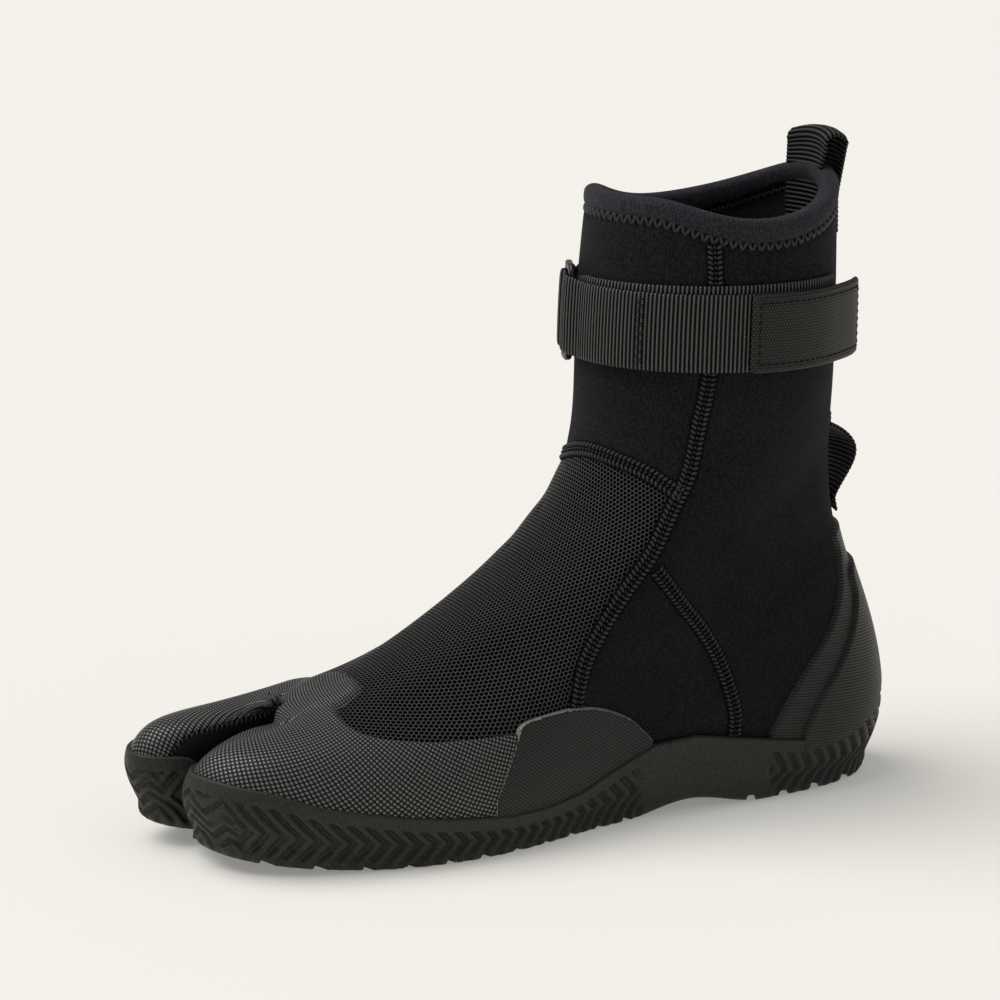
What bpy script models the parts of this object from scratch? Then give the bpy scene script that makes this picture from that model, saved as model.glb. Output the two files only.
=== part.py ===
"""Left split-toe wetsuit boot: a hollow neoprene upper on a rubber cup sole, with overlays and a strap.

The boot stands on its sole with the toes towards -Y and the outer side of the foot towards +X.
Tables and sizes are in millimetres, and the finished meshes are in metres.
"""

from collections import namedtuple

import bmesh
import bpy
import numpy as np
from mathutils.geometry import delaunay_2d_cdt

MM = 0.001
BOOT_NAME = "split_toe_wetsuit_boot"

# Walls and gaps
FRAME_SHIFT = (-0.36, -4.97, 0.0)
WALL = 4.0
SEAT_GAP = 0.35
OVERLAY = 1.3
LIP = 2.7
SLOT_LIP = 1.0
LIP_CLEAR = 1.3

# Sole
SOLE_FLOOR = 7.6
BOTTOM_EDGE = 2.6
BOTTOM_INSET = 2.2
SPRING_START = -58.0
SPRING_TIP = -146.0
SPRING_RISE = 11.0
ARCH_MIDDLE = 55.0
ARCH_REACH = 30.0
ARCH_RISE = 4.5
HEEL_BEVEL_START = 134.0
HEEL_BEVEL_SLOPE = 0.22
LIP_TOP_DROP = 0.4
WALL_SWELL = 1.04
SLOT_INSET_CUT = 0.6
FILL_STEP = 13.0

# Insole
INSOLE_THICK = 3.0
INSOLE_PLAY = 0.9

# Toe slot
SLOT_ROOT = (-11.0, -88.0)
SLOT_MOUTH_X = -7.0
SLOT_FADE = 12.0
SLOT_COLUMN = 12
SLOT_HALF_COLUMNS = 2.6
SLOT_BLEND = 0.9

# Rise of the collar's topline round the shaft: high at the back and front, low at the sides.
Topline = namedtuple("Topline", "angle rise")
COLLAR_LINE = (
    Topline(0, 12.5), Topline(16, 11.0), Topline(34, 6.8), Topline(55, 1.4), Topline(78, -2.4),
    Topline(100, -2.9), Topline(118, 0.2), Topline(140, 5.4), Topline(180, 6.3),
)

# Mesh steps
COLUMNS = 24
FACETS_PER_COLUMN = 3
LIP_STEPS = 2
SHOULDER_STEPS = 5
SHAFT_STEPS = 7
SHOULDER_RING = 5.6
SLOT_LIP_RING = 0.6

# One row per ring of the upper, from the edge that the sole closes to the collar.
Ring = namedtuple(
    "Ring",
    "z_front z_back y_front y_back heel waist_out ball_out toe_out waist_in ball_in toe_in slot round",
)
RINGS = (
    Ring(8.0, 8.0, -136, 144, 29.0, 32.0, 47.5, 40.0, 28.0, 45.5, 42.0, 3.0, 0.00),
    Ring(17.0, 21.0, -140, 149, 32.5, 35.0, 50.5, 43.0, 31.0, 48.5, 45.0, 3.0, 0.00),
    Ring(25.0, 36.0, -139, 149, 34.0, 37.0, 50.0, 42.0, 33.0, 48.0, 45.0, 3.4, 0.00),
    Ring(33.0, 51.0, -133, 146, 34.0, 38.0, 47.5, 38.5, 34.5, 46.0, 41.5, 3.9, 0.00),
    Ring(38.5, 65.0, -121, 141.5, 34.0, 38.0, 44.0, 33.5, 35.5, 43.0, 36.0, 5.0, 0.00),
    Ring(44.5, 79.0, -102, 136, 34.0, 38.0, 40.5, 28.0, 36.0, 40.0, 30.0, 7.0, 0.06),
    Ring(53.5, 93.0, -77, 131, 34.0, 38.0, 37.0, 25.0, 36.5, 37.0, 26.0, 9.0, 0.30),
    Ring(65.0, 107.0, -50, 127.5, 34.0, 38.5, 36.0, 25.0, 37.5, 36.0, 25.5, 9.0, 0.50),
    Ring(81.5, 121.0, -20, 126, 34.0, 39.5, 37.5, 28.0, 39.0, 37.5, 28.0, 9.0, 0.70),
    Ring(100.0, 135.0, 4, 125.5, 34.0, 41.0, 39.5, 31.0, 41.0, 39.5, 31.0, 9.0, 0.88),
    Ring(124.0, 150.0, 23, 125.5, 34.0, 43.0, 41.5, 34.0, 43.0, 41.5, 34.0, 9.0, 1.00),
    Ring(152.0, 167.0, 27.5, 125.5, 34.0, 44.0, 42.0, 34.0, 44.0, 42.0, 34.0, 9.0, 1.00),
    Ring(186.0, 192.0, 28.5, 125.5, 34.0, 44.5, 42.0, 34.0, 44.5, 42.0, 34.0, 9.0, 1.00),
    Ring(221.0, 221.0, 33, 125.0, 34.0, 43.5, 42.0, 34.0, 43.5, 42.0, 34.0, 9.0, 1.00),
)
TOP_RING = len(RINGS) - 1

# How far each side column lies along the foot from heel to toe, and its angle round the shaft from the back.
SIDE_RUN_OUT = (0.035, 0.13, 0.29, 0.45, 0.63, 0.82)
SIDE_RUN_IN = (0.035, 0.13, 0.30, 0.47, 0.69, 0.86)
SHAFT_ANGLE = (16, 34, 55, 78, 100, 118, 132, 144, 153, 162, 171)
FRONT_RUN = (0.90, 0.945, 0.97, 0.987, 0.997)
FRONT_WIDTH = (0.80, 0.62, 0.46, 0.31, 0.15)
SLOT_SHARE = (0.42, 0.80)

# The two toe lobes: side of the slot, place of the tip, its set-back, outer corner and slot corner.
Lobe = namedtuple("Lobe", "side tip_x tip_back corner_share corner_back mouth_back mouth_round")
OUTER_LOBE = Lobe(1, 9.0, 9.0, 0.70, 9.5, 5.0, 2.5)
INNER_LOBE = Lobe(-1, -25.0, 0.0, 0.90, 12.0, 7.0, 3.0)

# Height of the sole's lip along the foot.
Lip = namedtuple("Lip", "y z")
LIP_LINE = (
    Lip(-150, 33), Lip(-128, 33), Lip(-112, 30), Lip(-95, 24.5), Lip(-64, 19), Lip(-28, 15),
    Lip(-10, 15), Lip(4, 17), Lip(20, 23), Lip(36, 29), Lip(54, 30), Lip(76, 26),
    Lip(100, 22), Lip(122, 24), Lip(136, 30), Lip(144, 40), Lip(150, 50), Lip(154, 53),
)

# Side outlines of the overlays, each above the lip: one row per corner of the edge.
Edge = namedtuple("Edge", "y z")
TOE_CAP_EDGE = (
    Edge(-68, 90), Edge(-67, 60), Edge(-68, 56), Edge(-74, 53), Edge(-79.5, 50), Edge(-77, 46.5),
    Edge(-70, 44.5), Edge(-54, 43), Edge(-28, 43), Edge(-26.5, 40), Edge(-36, 22),
)
SIDE_GUARD_EDGE = (
    Edge(-34.5, 22), Edge(-25, 40.5), Edge(-21, 46), Edge(-10, 48), Edge(1, 48.6), Edge(13, 46.5),
    Edge(25, 41), Edge(32, 35), Edge(36, 31),
)
HEEL_COUNTER_EDGE = (
    Edge(86, 26), Edge(93, 38), Edge(103, 51), Edge(113, 63), Edge(119.5, 76), Edge(121.5, 88),
    Edge(122, 97), Edge(160, 100),
)
HEEL_RIDGE_EDGE = (
    Edge(100, 26), Edge(107, 38), Edge(116, 49), Edge(123, 60), Edge(127, 71), Edge(128.5, 82),
    Edge(160, 85),
)

# Ankle strap, ring and tab
STRAP_LOW = 165.9
STRAP_HIGH = 193.5
WEBBING = 1.3
STRAP_START = 8 / 3
RING_FRONT_BAR = 40 / 3
RING_REAR_BAR = 46 / 3
RING_BAR = 2.8
RING_LIFT = 2.1
RING_HIGH = 197.3
RING_LOW = 162.1
RING_CORNER = 2.6
ANCHOR_END = 62 / 3
TAB_FRONT = 15 / 3
TAB_REAR = 5 / 3
TAB_LOW = 164.4
TAB_HIGH = 192.2
TAB_THICK = 1.7
STRAP_EASE = 0.25
LAYER_GAP = 0.35
FOLD_CLEAR = 0.4
FOLD_AHEAD = 0.5
FOLD_LIFT_COLUMNS = 1.3
FOLD_STEPS = 6

# Pull loops
LOOP_THICK = 1.5
PULL_HALF_U = 1.0
PULL_SEWN_Z = 207.0
PULL_TOP_RISE = 11.5
PULL_SET_BACK = 1.5
PULL_SPREAD = 2.05
PULL_BELOW_RIM = 1.5
HEEL_LOOP_HALF_U = 2 / 3
HEEL_LOOP_LOW = 101.0
HEEL_LOOP_HIGH = 139.0
HEEL_LOOP_BOW = 11.0
HEEL_LOOP_SEWN = 5.0
HEEL_LOOP_EASE = 10.0

# Main lugs
GROOVE_WIDTH = 4.2
GROOVE_DEPTH = 2.4
LUG_PITCH = 14.0
CHEVRON_REACH = 62.0
CHEVRON_SWEEP = 0.42
Tread = namedtuple("Tread", "first last point")
FORE_TREAD = Tread(-128.0, 20.0, 1)
HEEL_TREAD = Tread(92.0, 136.0, -1)


def smooth(value):
    """Eased step from 0 to 1."""
    share = np.clip(value, 0.0, 1.0)
    return share * share * (3 - 2 * share)


def toe_spring(y):
    """Lift of the sole's underside towards the toes."""
    return SPRING_RISE * np.clip((SPRING_START - y) / (SPRING_START - SPRING_TIP), 0, 1.2) ** 2


def sole_bottom(y):
    """Height of the tread: flat at ball and heel, raised at the arch, the toes and the back edge."""
    arch = ARCH_RISE * smooth(1 - np.abs(y - ARCH_MIDDLE) / ARCH_REACH)
    bevel = HEEL_BEVEL_SLOPE * np.clip(y - HEEL_BEVEL_START, 0, None)
    return toe_spring(y) + arch + bevel


def lip_height(y):
    """Height of the sole's lip at this place along the foot."""
    return np.interp(y, [lip.y for lip in LIP_LINE], [lip.z for lip in LIP_LINE])


def toe_columns(ring, lobe, toe):
    """Plan places of the five columns from the outer toe corner to the rear of the slot wall."""
    side = lobe.side
    tip_y = ring.y_front + lobe.tip_back
    notch = smooth((SLOT_ROOT[1] - tip_y) / SLOT_FADE)
    mouth_y = tip_y + lobe.mouth_back
    walls = [mouth_y + share * (SLOT_ROOT[1] - mouth_y) for share in SLOT_SHARE]
    reach = max(SLOT_ROOT[1] - ring.y_front, 1.0)

    def slot_edge(y):
        towards_mouth = np.clip((SLOT_ROOT[1] - y) / reach, 0, 1)
        return SLOT_ROOT[0] + towards_mouth * (SLOT_MOUTH_X - SLOT_ROOT[0]) + side * ring.slot

    notched = [(side * lobe.corner_share * toe, tip_y + lobe.corner_back), (lobe.tip_x, tip_y)]
    notched += [(slot_edge(mouth_y) + side * lobe.mouth_round, mouth_y)]
    notched += [(slot_edge(y), y) for y in walls]
    length = ring.y_back - ring.y_front
    plain = [
        (side * toe * width, ring.y_back - run * length)
        for width, run in zip(FRONT_WIDTH, FRONT_RUN)
    ]
    return notch * np.array(notched) + (1 - notch) * np.array(plain)


def ring_side(ring, lobe, run, waist, ball, toe):
    """Plan places of one side of a ring, from the heel corner to the rear of the slot wall."""
    length = ring.y_back - ring.y_front
    widths = (0.62 * ring.heel, ring.heel, (ring.heel + waist) / 2 + 0.5, waist, ball, toe)
    foot = [(lobe.side * width, ring.y_back - share * length) for width, share in zip(widths, run)]
    foot = np.vstack([foot, toe_columns(ring, lobe, toe)])
    angle = np.radians(SHAFT_ANGLE)
    shaft_x = lobe.side * waist * np.sin(angle)
    shaft_y = ring.y_back - length * (1 - np.cos(angle)) / 2
    shaft = np.stack([shaft_x, shaft_y], axis=1)
    return ring.round * shaft + (1 - ring.round) * foot


def ring_points(ring):
    """The control points of one ring: back, outer side, slot root or front, inner side."""
    outer = ring_side(ring, OUTER_LOBE, SIDE_RUN_OUT, ring.waist_out, ring.ball_out, ring.toe_out)
    inner = ring_side(ring, INNER_LOBE, SIDE_RUN_IN, ring.waist_in, ring.ball_in, ring.toe_in)
    notch = smooth((SLOT_ROOT[1] - ring.y_front) / SLOT_FADE)
    front = notch * np.array(SLOT_ROOT) + (1 - notch) * np.array((0.0, ring.y_front))
    plan = np.vstack([(0.0, ring.y_back), outer, front, inner[::-1]])
    share = (ring.y_back - plan[:, 1]) / (ring.y_back - ring.y_front)
    z = ring.z_back + share * (ring.z_front - ring.z_back) + toe_spring(plan[:, 1])
    return np.column_stack([plan, z])


def spline_weights(place, last, wrap):
    """Cubic B-spline columns, values and slopes at these places along one direction of the net."""
    cell = np.floor(place).astype(int)
    if not wrap:
        cell = np.clip(cell, 0, last - 1)
    f = place - cell
    third = -3 * f**3 + 3 * f**2 + 3 * f + 1
    value = np.stack([(1 - f) ** 3, 3 * f**3 - 6 * f**2 + 4, third, f**3], -1) / 6
    slope = np.stack([-((1 - f) ** 2), 3 * f**2 - 4 * f, -3 * f**2 + 2 * f + 1, f**2], -1) / 2
    return cell[..., None] + np.arange(-1, 3), value, slope


class UpperForm:
    """The outside of the upper as one smooth function of a column u round the foot and a ring t up it."""

    def __init__(self):
        points = np.array([ring_points(ring) for ring in RINGS])
        back_angle = (0,) + SHAFT_ANGLE + (180,) + SHAFT_ANGLE[::-1]
        points[-1, :, 2] += np.interp(back_angle, *np.transpose(COLLAR_LINE))
        self.net = points
        u, t = np.meshgrid(np.arange(COLUMNS), np.arange(len(RINGS)))
        self.net = points + points - self.at(u, t)[0]

    def at(self, u, t):
        """Points and outward normals at columns u and rings t, arrays of one shape."""
        u, t = np.broadcast_arrays(np.asarray(u, float), np.asarray(t, float))
        ends = 2 * self.net[[0, -1]] - self.net[[1, -2]]
        net = np.concatenate([ends[:1], self.net, ends[1:]])
        columns, u_value, u_slope = spline_weights(u, COLUMNS, True)
        rows, t_value, t_slope = spline_weights(t, TOP_RING, False)
        patch = net[(rows + 1)[..., :, None], columns[..., None, :] % COLUMNS]
        point = np.einsum("...i,...j,...ijk->...k", t_value, u_value, patch)
        along_u = np.einsum("...i,...j,...ijk->...k", t_value, u_slope, patch)
        along_t = np.einsum("...i,...j,...ijk->...k", t_slope, u_value, patch)
        normal = np.cross(along_t, along_u)
        return point, normal / np.linalg.norm(normal, axis=-1, keepdims=True)

    def offset(self, u, t, distance):
        """Points this far outside the upper's surface, or inside it when negative."""
        point, normal = self.at(u, t)
        return point + normal * np.asarray(distance)[..., None]

    def ring_at_height(self, u, z):
        """The ring t at which each column u reaches the height z."""
        t = np.linspace(0, TOP_RING, 40 * TOP_RING + 1)
        heights = self.at(np.asarray(u, float)[:, None], t[None, :])[0][..., 2]
        heights = np.maximum.accumulate(heights, axis=1)
        wanted = np.broadcast_to(z, len(u))
        return np.array([np.interp(height, row, t) for height, row in zip(wanted, heights)])


def slot_share(u):
    """1 for columns on the slot's walls, 0 for the rest of the foot."""
    return smooth((SLOT_HALF_COLUMNS - np.abs(u % COLUMNS - SLOT_COLUMN)) / SLOT_BLEND)


def lip_rings(form, u):
    """The ring t of the sole's lip at each column; inside the slot the lip is only a low edge."""
    low = np.full(len(u), SLOT_LIP_RING)
    fine = np.linspace(0, 7, 281)
    points = form.at(u[:, None], fine[None, :])[0]
    below = points[..., 2] - lip_height(points[..., 1])
    high = np.array([np.interp(0.0, np.maximum.accumulate(row), fine) for row in below])
    share = slot_share(u)
    return share * low + (1 - share) * high


def upper_rows(form, u):
    """Ring values of the upper's mesh rows: even steps to the lip, over the toes, then up to the collar."""
    lip = lip_rings(form, u)
    under = np.linspace(0, 1, LIP_STEPS + 1)[:, None] * lip
    share = np.linspace(0, 1, SHOULDER_STEPS + 1)[1:, None]
    over_toes = lip + share * (SHOULDER_RING - lip)
    shaft = np.linspace(SHOULDER_RING, TOP_RING, SHAFT_STEPS + 1)[1:, None]
    return np.vstack([under, over_toes, np.repeat(shaft, len(u), axis=1)])


def facet_columns(first, last):
    """Column values at the mesh's own spacing, from the first to the last facet edge named."""
    count = int(round((last - first) * FACETS_PER_COLUMN))
    return first + np.arange(count + 1) / FACETS_PER_COLUMN


def material(name, rgb, roughness):
    """A plain surface for one kind of material."""
    made = bpy.data.materials.get(name) or bpy.data.materials.new(name)
    made.use_nodes = True
    shader = made.node_tree.nodes["Principled BSDF"]
    shader.inputs["Base Color"].default_value = (*rgb, 1)
    shader.inputs["Roughness"].default_value = roughness
    return made


def add_object(name, points, faces, finish, collection):
    """One mesh object from points in millimetres, its faces turned outwards."""
    mesh = bpy.data.meshes.new(name)
    placed = (np.asarray(points, float) + FRAME_SHIFT) * MM
    mesh.from_pydata(placed.tolist(), [], [list(map(int, face)) for face in faces])
    shell = bmesh.new()
    shell.from_mesh(mesh)
    bmesh.ops.triangulate(shell, faces=shell.faces)
    bmesh.ops.recalc_face_normals(shell, faces=shell.faces)
    shell.to_mesh(mesh)
    shell.free()
    if finish:
        mesh.materials.append(finish)
    made = bpy.data.objects.new(name, mesh)
    collection.objects.link(made)
    return made


def grid_faces(rows, columns, wrap, start=0):
    """Triangles over a grid of points numbered row by row, all split along the same diagonal."""
    last = columns if wrap else columns - 1
    faces = []
    for row in range(rows - 1):
        for column in range(last):
            here = start + row * columns + column
            beside = start + row * columns + (column + 1) % columns
            faces.append((here, beside, beside + columns))
            faces.append((here, beside + columns, here + columns))
    return faces


def thick_sheet(inside, outside, wrap=False):
    """Points and faces of a closed sheet between two grids of the same shape."""
    rows, columns = inside.shape[:2]
    count = rows * columns
    points = np.vstack([inside.reshape(-1, 3), outside.reshape(-1, 3)])
    faces = [face[::-1] for face in grid_faces(rows, columns, wrap)]
    faces += grid_faces(rows, columns, wrap, count)
    index = np.arange(count).reshape(rows, columns)
    rims = [index[0], index[-1, ::-1]]
    if wrap:
        rims = [np.append(rim, rim[0]) for rim in rims]
    else:
        rims += [index[:, -1], index[::-1, 0]]
    for rim in rims:
        faces += [(a, b, b + count, a + count) for a, b in zip(rim[:-1], rim[1:])]
    return points, faces


def filled(outline):
    """Plan points and triangles that fill a closed outline, with inner points to follow a curve."""
    low, high = outline.min(axis=0), outline.max(axis=0)
    xs = np.arange(low[0] + FILL_STEP / 2, high[0], FILL_STEP * 2)
    ys = np.arange(low[1] + FILL_STEP / 2, high[1], FILL_STEP)
    inner = np.array([(x, y) for y in ys for x in xs])
    far = np.linalg.norm(inner[:, None] - outline[None], axis=2).min(axis=1) > FILL_STEP * 0.45
    count = len(outline)
    edges = [(i, (i + 1) % count) for i in range(count)]
    plan = [tuple(point) for point in np.vstack([outline, inner[far]])]
    points, _, faces, *_ = delaunay_2d_cdt(plan, edges, [list(range(count))], 1, 1e-6)
    return np.array([tuple(point) for point in points]), faces


def cap(outline, height):
    """Fill of a closed outline whose inner points take their height from a function of y."""
    plan, faces = filled(outline[:, :2])
    inner = plan[len(outline):]
    points = np.vstack([outline, np.column_stack([inner, height(inner[:, 1])])])
    return points, faces


def build_upper(form, u, rows, finish, collection):
    """The neoprene boot: one hollow wall, open at the collar and under the foot."""
    outside = form.at(u[None, :], rows)[0]
    inside = form.offset(u[None, :], rows, -WALL)
    inside[0, :, 2] = outside[0, :, 2]
    points, faces = thick_sheet(inside, outside, wrap=True)
    return add_object("upper", points, faces, finish, collection)


def build_outsole(form, u, rows, finish, collection):
    """The cup sole: a lip round the upper, a floor inside, a tread under the foot."""
    lip = rows[: LIP_STEPS + 1]
    inner_wall = form.offset(u[None, :], lip, SEAT_GAP)
    inner_wall[0, :, 2] = SOLE_FLOOR + toe_spring(inner_wall[0, :, 1])
    thick = SEAT_GAP + LIP + (SLOT_LIP - LIP) * slot_share(u)
    top = form.offset(u, lip[-1], thick)
    middle = form.offset(u, lip[1], thick * WALL_SWELL)
    top[:, 2] = np.minimum(top[:, 2], inner_wall[-1, :, 2]) - LIP_TOP_DROP
    edge = form.offset(u, lip[0], thick)
    edge[:, 2] = sole_bottom(edge[:, 1]) + BOTTOM_EDGE
    bottom = form.offset(u, lip[0], thick - BOTTOM_INSET * (1 - SLOT_INSET_CUT * slot_share(u)))
    bottom[:, 2] = sole_bottom(bottom[:, 1])
    wall = np.concatenate([inner_wall, [top, middle, edge, bottom]])
    faces = grid_faces(len(wall), len(u), True)
    points = [wall.reshape(-1, 3)]
    count = len(u)
    for ring, height in ((0, lambda y: SOLE_FLOOR + toe_spring(y)), (len(wall) - 1, sole_bottom)):
        fill, triangles = cap(wall[ring], height)
        base = sum(len(part) for part in points)
        places = np.append(ring * count + np.arange(count), base + np.arange(len(fill) - count))
        points.append(fill[count:])
        faces += [tuple(places[list(triangle)]) for triangle in triangles]
    return add_object("outsole", np.vstack(points), faces, finish, collection)


def build_insole(form, u, finish, collection):
    """The foam board on the sole's floor, inside the upper."""
    outline = form.offset(u, np.zeros(len(u)), -(WALL + INSOLE_PLAY))
    outline[:, 2] = SOLE_FLOOR + SEAT_GAP + toe_spring(outline[:, 1])
    low, faces = cap(outline, lambda y: SOLE_FLOOR + SEAT_GAP + toe_spring(y))
    count = len(low)
    rim = len(outline)
    both = [face[::-1] for face in faces] + [tuple(i + count for i in face) for face in faces]
    both += [(i, (i + 1) % rim, (i + 1) % rim + count, i + count) for i in range(rim)]
    points = np.vstack([low, low + (0, 0, INSOLE_THICK)])
    return add_object("insole", points, both, finish, collection)


def prism(name, outline, x_range, cutters):
    """A side outline carried straight across the foot, for cutting an overlay from its shell."""
    count = len(outline)
    points = [(x, y, z) for x in x_range for y, z in outline]
    faces = [tuple(range(count)), tuple(range(2 * count - 1, count - 1, -1))]
    faces += [(i, (i + 1) % count, (i + 1) % count + count, i + count) for i in range(count)]
    return add_object(name, points, faces, None, cutters)


def cut(target, tool, operation):
    """Keep what two forms share, or take one from the other."""
    modifier = target.modifiers.new(tool.name, "BOOLEAN")
    modifier.operation = operation
    modifier.solver = "EXACT"
    modifier.use_self = True
    modifier.object = tool


def above_lip(edge, first, last):
    """A closed side outline from an edge table: its corners, then back along the lip."""
    ys = np.linspace(last, first, 15)
    lip = [(y, lip_height(y) + LIP_CLEAR) for y in ys]
    return [tuple(corner) for corner in edge] + lip


def shell(form, u, rows, gap, thick):
    """A closed sheet that lies on the upper at this gap, on the upper's own facets."""
    return thick_sheet(form.offset(u[None, :], rows, gap), form.offset(u[None, :], rows, gap + thick))


def overlay(name, form, span, steps, gap, thick, outline, x_range, finish, collections):
    """An overlay cut from the upper's own form by a side outline."""
    parts, cutters = collections
    u = facet_columns(*span)
    rows = upper_rows(form, u)[steps[0]: steps[1]]
    made = add_object(name, *shell(form, u, rows, gap, thick), finish, parts)
    cut(made, prism(name + "_outline", outline, x_range, cutters), "INTERSECT")
    return made


def slot_cutter(cutters):
    """An upright form along the slot that trims the toe cap at the slot's edges."""
    reach = -160.0
    half = 6.0
    flare = 8.5
    root_x, root_y = SLOT_ROOT
    plan = [
        (root_x - half * 0.6, root_y + 6.0), (root_x + half * 0.6, root_y + 6.0),
        (root_x + half, root_y - 1.0), (SLOT_MOUTH_X + half, -122.0), (SLOT_MOUTH_X + flare, reach),
        (SLOT_MOUTH_X - flare, reach), (SLOT_MOUTH_X - half, -126.0), (root_x - half, root_y - 1.0),
    ]
    count = len(plan)
    points = [(x, y, z) for z in (0.0, 90.0) for x, y in plan]
    faces = [tuple(range(count)), tuple(range(2 * count - 1, count - 1, -1))]
    faces += [(i, (i + 1) % count, (i + 1) % count + count, i + count) for i in range(count)]
    return add_object("toe_slot_outline", points, faces, None, cutters)


def band_point(form, u, z, distance):
    """Points beside the shaft at column u and height z."""
    return form.offset(u, form.ring_at_height(u, z), distance)


def folded_band(form, inner_u, bar_u, outer_u, low, high):
    """Webbing that runs along the shaft, turns round a bar of the ring and comes back over itself."""
    turn = 1 if inner_u[-1] > inner_u[0] else -1
    half = WEBBING / 2
    close = SEAT_GAP + STRAP_EASE + half
    far = RING_LIFT + RING_BAR + FOLD_CLEAR + half
    middle = (close + far) / 2
    bend = np.linspace(-90, 90, FOLD_STEPS + 1)[1:-1]
    reach = np.radians(bend)
    u_per_mm = 1 / mm_per_column(form, bar_u)
    fold_u = bar_u + turn * (RING_BAR / 2 + FOLD_AHEAD + np.cos(reach) * (far - close) / 2) * u_per_mm
    fold_out = middle + np.sin(reach) * (far - close) / 2
    settled = close + WEBBING + LAYER_GAP
    lift = smooth(1 - np.abs(outer_u - bar_u) / FOLD_LIFT_COLUMNS)
    u = np.concatenate([inner_u, fold_u, outer_u])
    out = np.concatenate([np.full(len(inner_u), close), fold_out, settled + lift * (far - settled)])
    centre = np.stack([band_point(form, u, z, out) for z in (low, high)])
    run = np.gradient(centre, axis=1)
    run[..., 2] = 0
    across = np.stack([-run[..., 1], run[..., 0], np.zeros(run.shape[:2])], axis=-1)
    across *= half / np.linalg.norm(across, axis=-1, keepdims=True)
    return thick_sheet(centre - across, centre + across)


def mm_per_column(form, u):
    """Length of one column along the shaft at the strap."""
    pair = np.array([u - 0.1, u + 0.1])
    ends = band_point(form, pair, (STRAP_LOW + STRAP_HIGH) / 2, np.zeros(2))
    return np.linalg.norm(ends[1] - ends[0]) / 0.2


def build_strap(form, finish, collection):
    """The ankle strap from its sewn start round the front, through the ring and back to the tab."""
    inner_u = facet_columns(STRAP_START, RING_FRONT_BAR)
    outer_u = facet_columns(TAB_FRONT - 1, RING_FRONT_BAR)[::-1]
    points, faces = folded_band(form, inner_u, RING_FRONT_BAR, outer_u, STRAP_LOW, STRAP_HIGH)
    return add_object("ankle_strap", points, faces, finish, collection)


def build_anchor(form, finish, collection):
    """The webbing tail sewn to the inner side, folded round the ring's rear bar."""
    inner_u = facet_columns(RING_REAR_BAR, ANCHOR_END)[::-1]
    outer_u = facet_columns(RING_REAR_BAR, ANCHOR_END)
    points, faces = folded_band(form, inner_u, RING_REAR_BAR, outer_u, STRAP_LOW, STRAP_HIGH)
    return add_object("strap_anchor", points, faces, finish, collection)


def build_tab(form, finish, collection):
    """The rubberised end of the strap, over the webbing at the outer rear."""
    u = facet_columns(TAB_REAR, TAB_FRONT)
    gap = SEAT_GAP + STRAP_EASE + 2 * (WEBBING + LAYER_GAP)
    heights = (TAB_LOW, TAB_HIGH)
    inside = np.stack([band_point(form, u, z, np.full(len(u), gap)) for z in heights])
    outside = np.stack([band_point(form, u, z, np.full(len(u), gap + TAB_THICK)) for z in heights])
    return add_object("strap_tab", *thick_sheet(inside, outside), finish, collection)


def build_ring(form, finish, collection):
    """The moulded ring: a rounded rectangle bent to the shaft."""
    middle_u = (RING_FRONT_BAR + RING_REAR_BAR) / 2
    u_per_mm = 1 / mm_per_column(form, middle_u)
    half_run = (RING_REAR_BAR - RING_FRONT_BAR) / 2 / u_per_mm
    half_rise = (RING_HIGH - RING_LOW - RING_BAR) / 2
    quarter = np.radians(np.arange(0, 91, 30))
    path = []
    for turn, (side, level) in enumerate(((1, 1), (-1, 1), (-1, -1), (1, -1))):
        angle = quarter + turn * np.pi / 2
        run = side * (half_run - RING_CORNER) + RING_CORNER * np.cos(angle)
        rise = level * (half_rise - RING_CORNER) + RING_CORNER * np.sin(angle)
        path += list(zip(run, rise, np.cos(angle), np.sin(angle)))
    run, rise, out_run, out_rise = np.array(path).T
    section = np.radians(np.arange(30, 360, 60))
    points = []
    for angle in section:
        grow = RING_BAR / 2 * np.cos(angle)
        depth = RING_LIFT + RING_BAR / 2 * (1 + np.sin(angle))
        u = middle_u + (run + grow * out_run) * u_per_mm
        z = (RING_HIGH + RING_LOW) / 2 + rise + grow * out_rise
        points.append(band_point(form, u, z, np.full(len(u), depth)))
    grid = np.array(points + points[:1])
    count = len(path)
    sides = len(section)
    faces = [
        tuple(i % (sides * count) for i in face) for face in grid_faces(sides + 1, count, True)
    ]
    return add_object("strap_ring", grid[:-1].reshape(-1, 3), faces, finish, collection)


def build_pull_loop(form, finish, collection):
    """The grosgrain loop sewn outside and inside the collar at the back."""
    u = facet_columns(-PULL_HALF_U, PULL_HALF_U)[::2]
    rim = form.at(u, np.full(len(u), float(TOP_RING)))[0]
    sewn_heights = np.linspace(PULL_SEWN_Z, rim[:, 2].min() - PULL_BELOW_RIM, 3)
    sewn_rings = [form.ring_at_height(u, z) for z in sewn_heights]
    clear = SEAT_GAP + LOOP_THICK / 2
    outer_leg = [form.offset(u, ring, clear) for ring in sewn_rings]
    inner_leg = [form.offset(u, ring, -(WALL + clear)) for ring in sewn_rings]
    half = (WALL + 2 * clear) / 2
    bow = []
    for angle in np.radians(np.arange(-20, 201, 20)):
        centre = rim + (0, PULL_SET_BACK - WALL / 2, PULL_TOP_RISE - half)
        bow.append(centre + half * np.array((0, PULL_SPREAD * np.cos(angle), np.sin(angle))))
    centre = np.array(outer_leg + bow + inner_leg[::-1])
    run = np.gradient(centre, axis=0)
    across = np.stack([np.zeros(run.shape[:2]), run[..., 2], -run[..., 1]], axis=-1)
    across *= LOOP_THICK / 2 / np.linalg.norm(across, axis=-1, keepdims=True)
    return add_object("collar_pull_loop", *thick_sheet(centre - across, centre + across), finish, collection)


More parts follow.
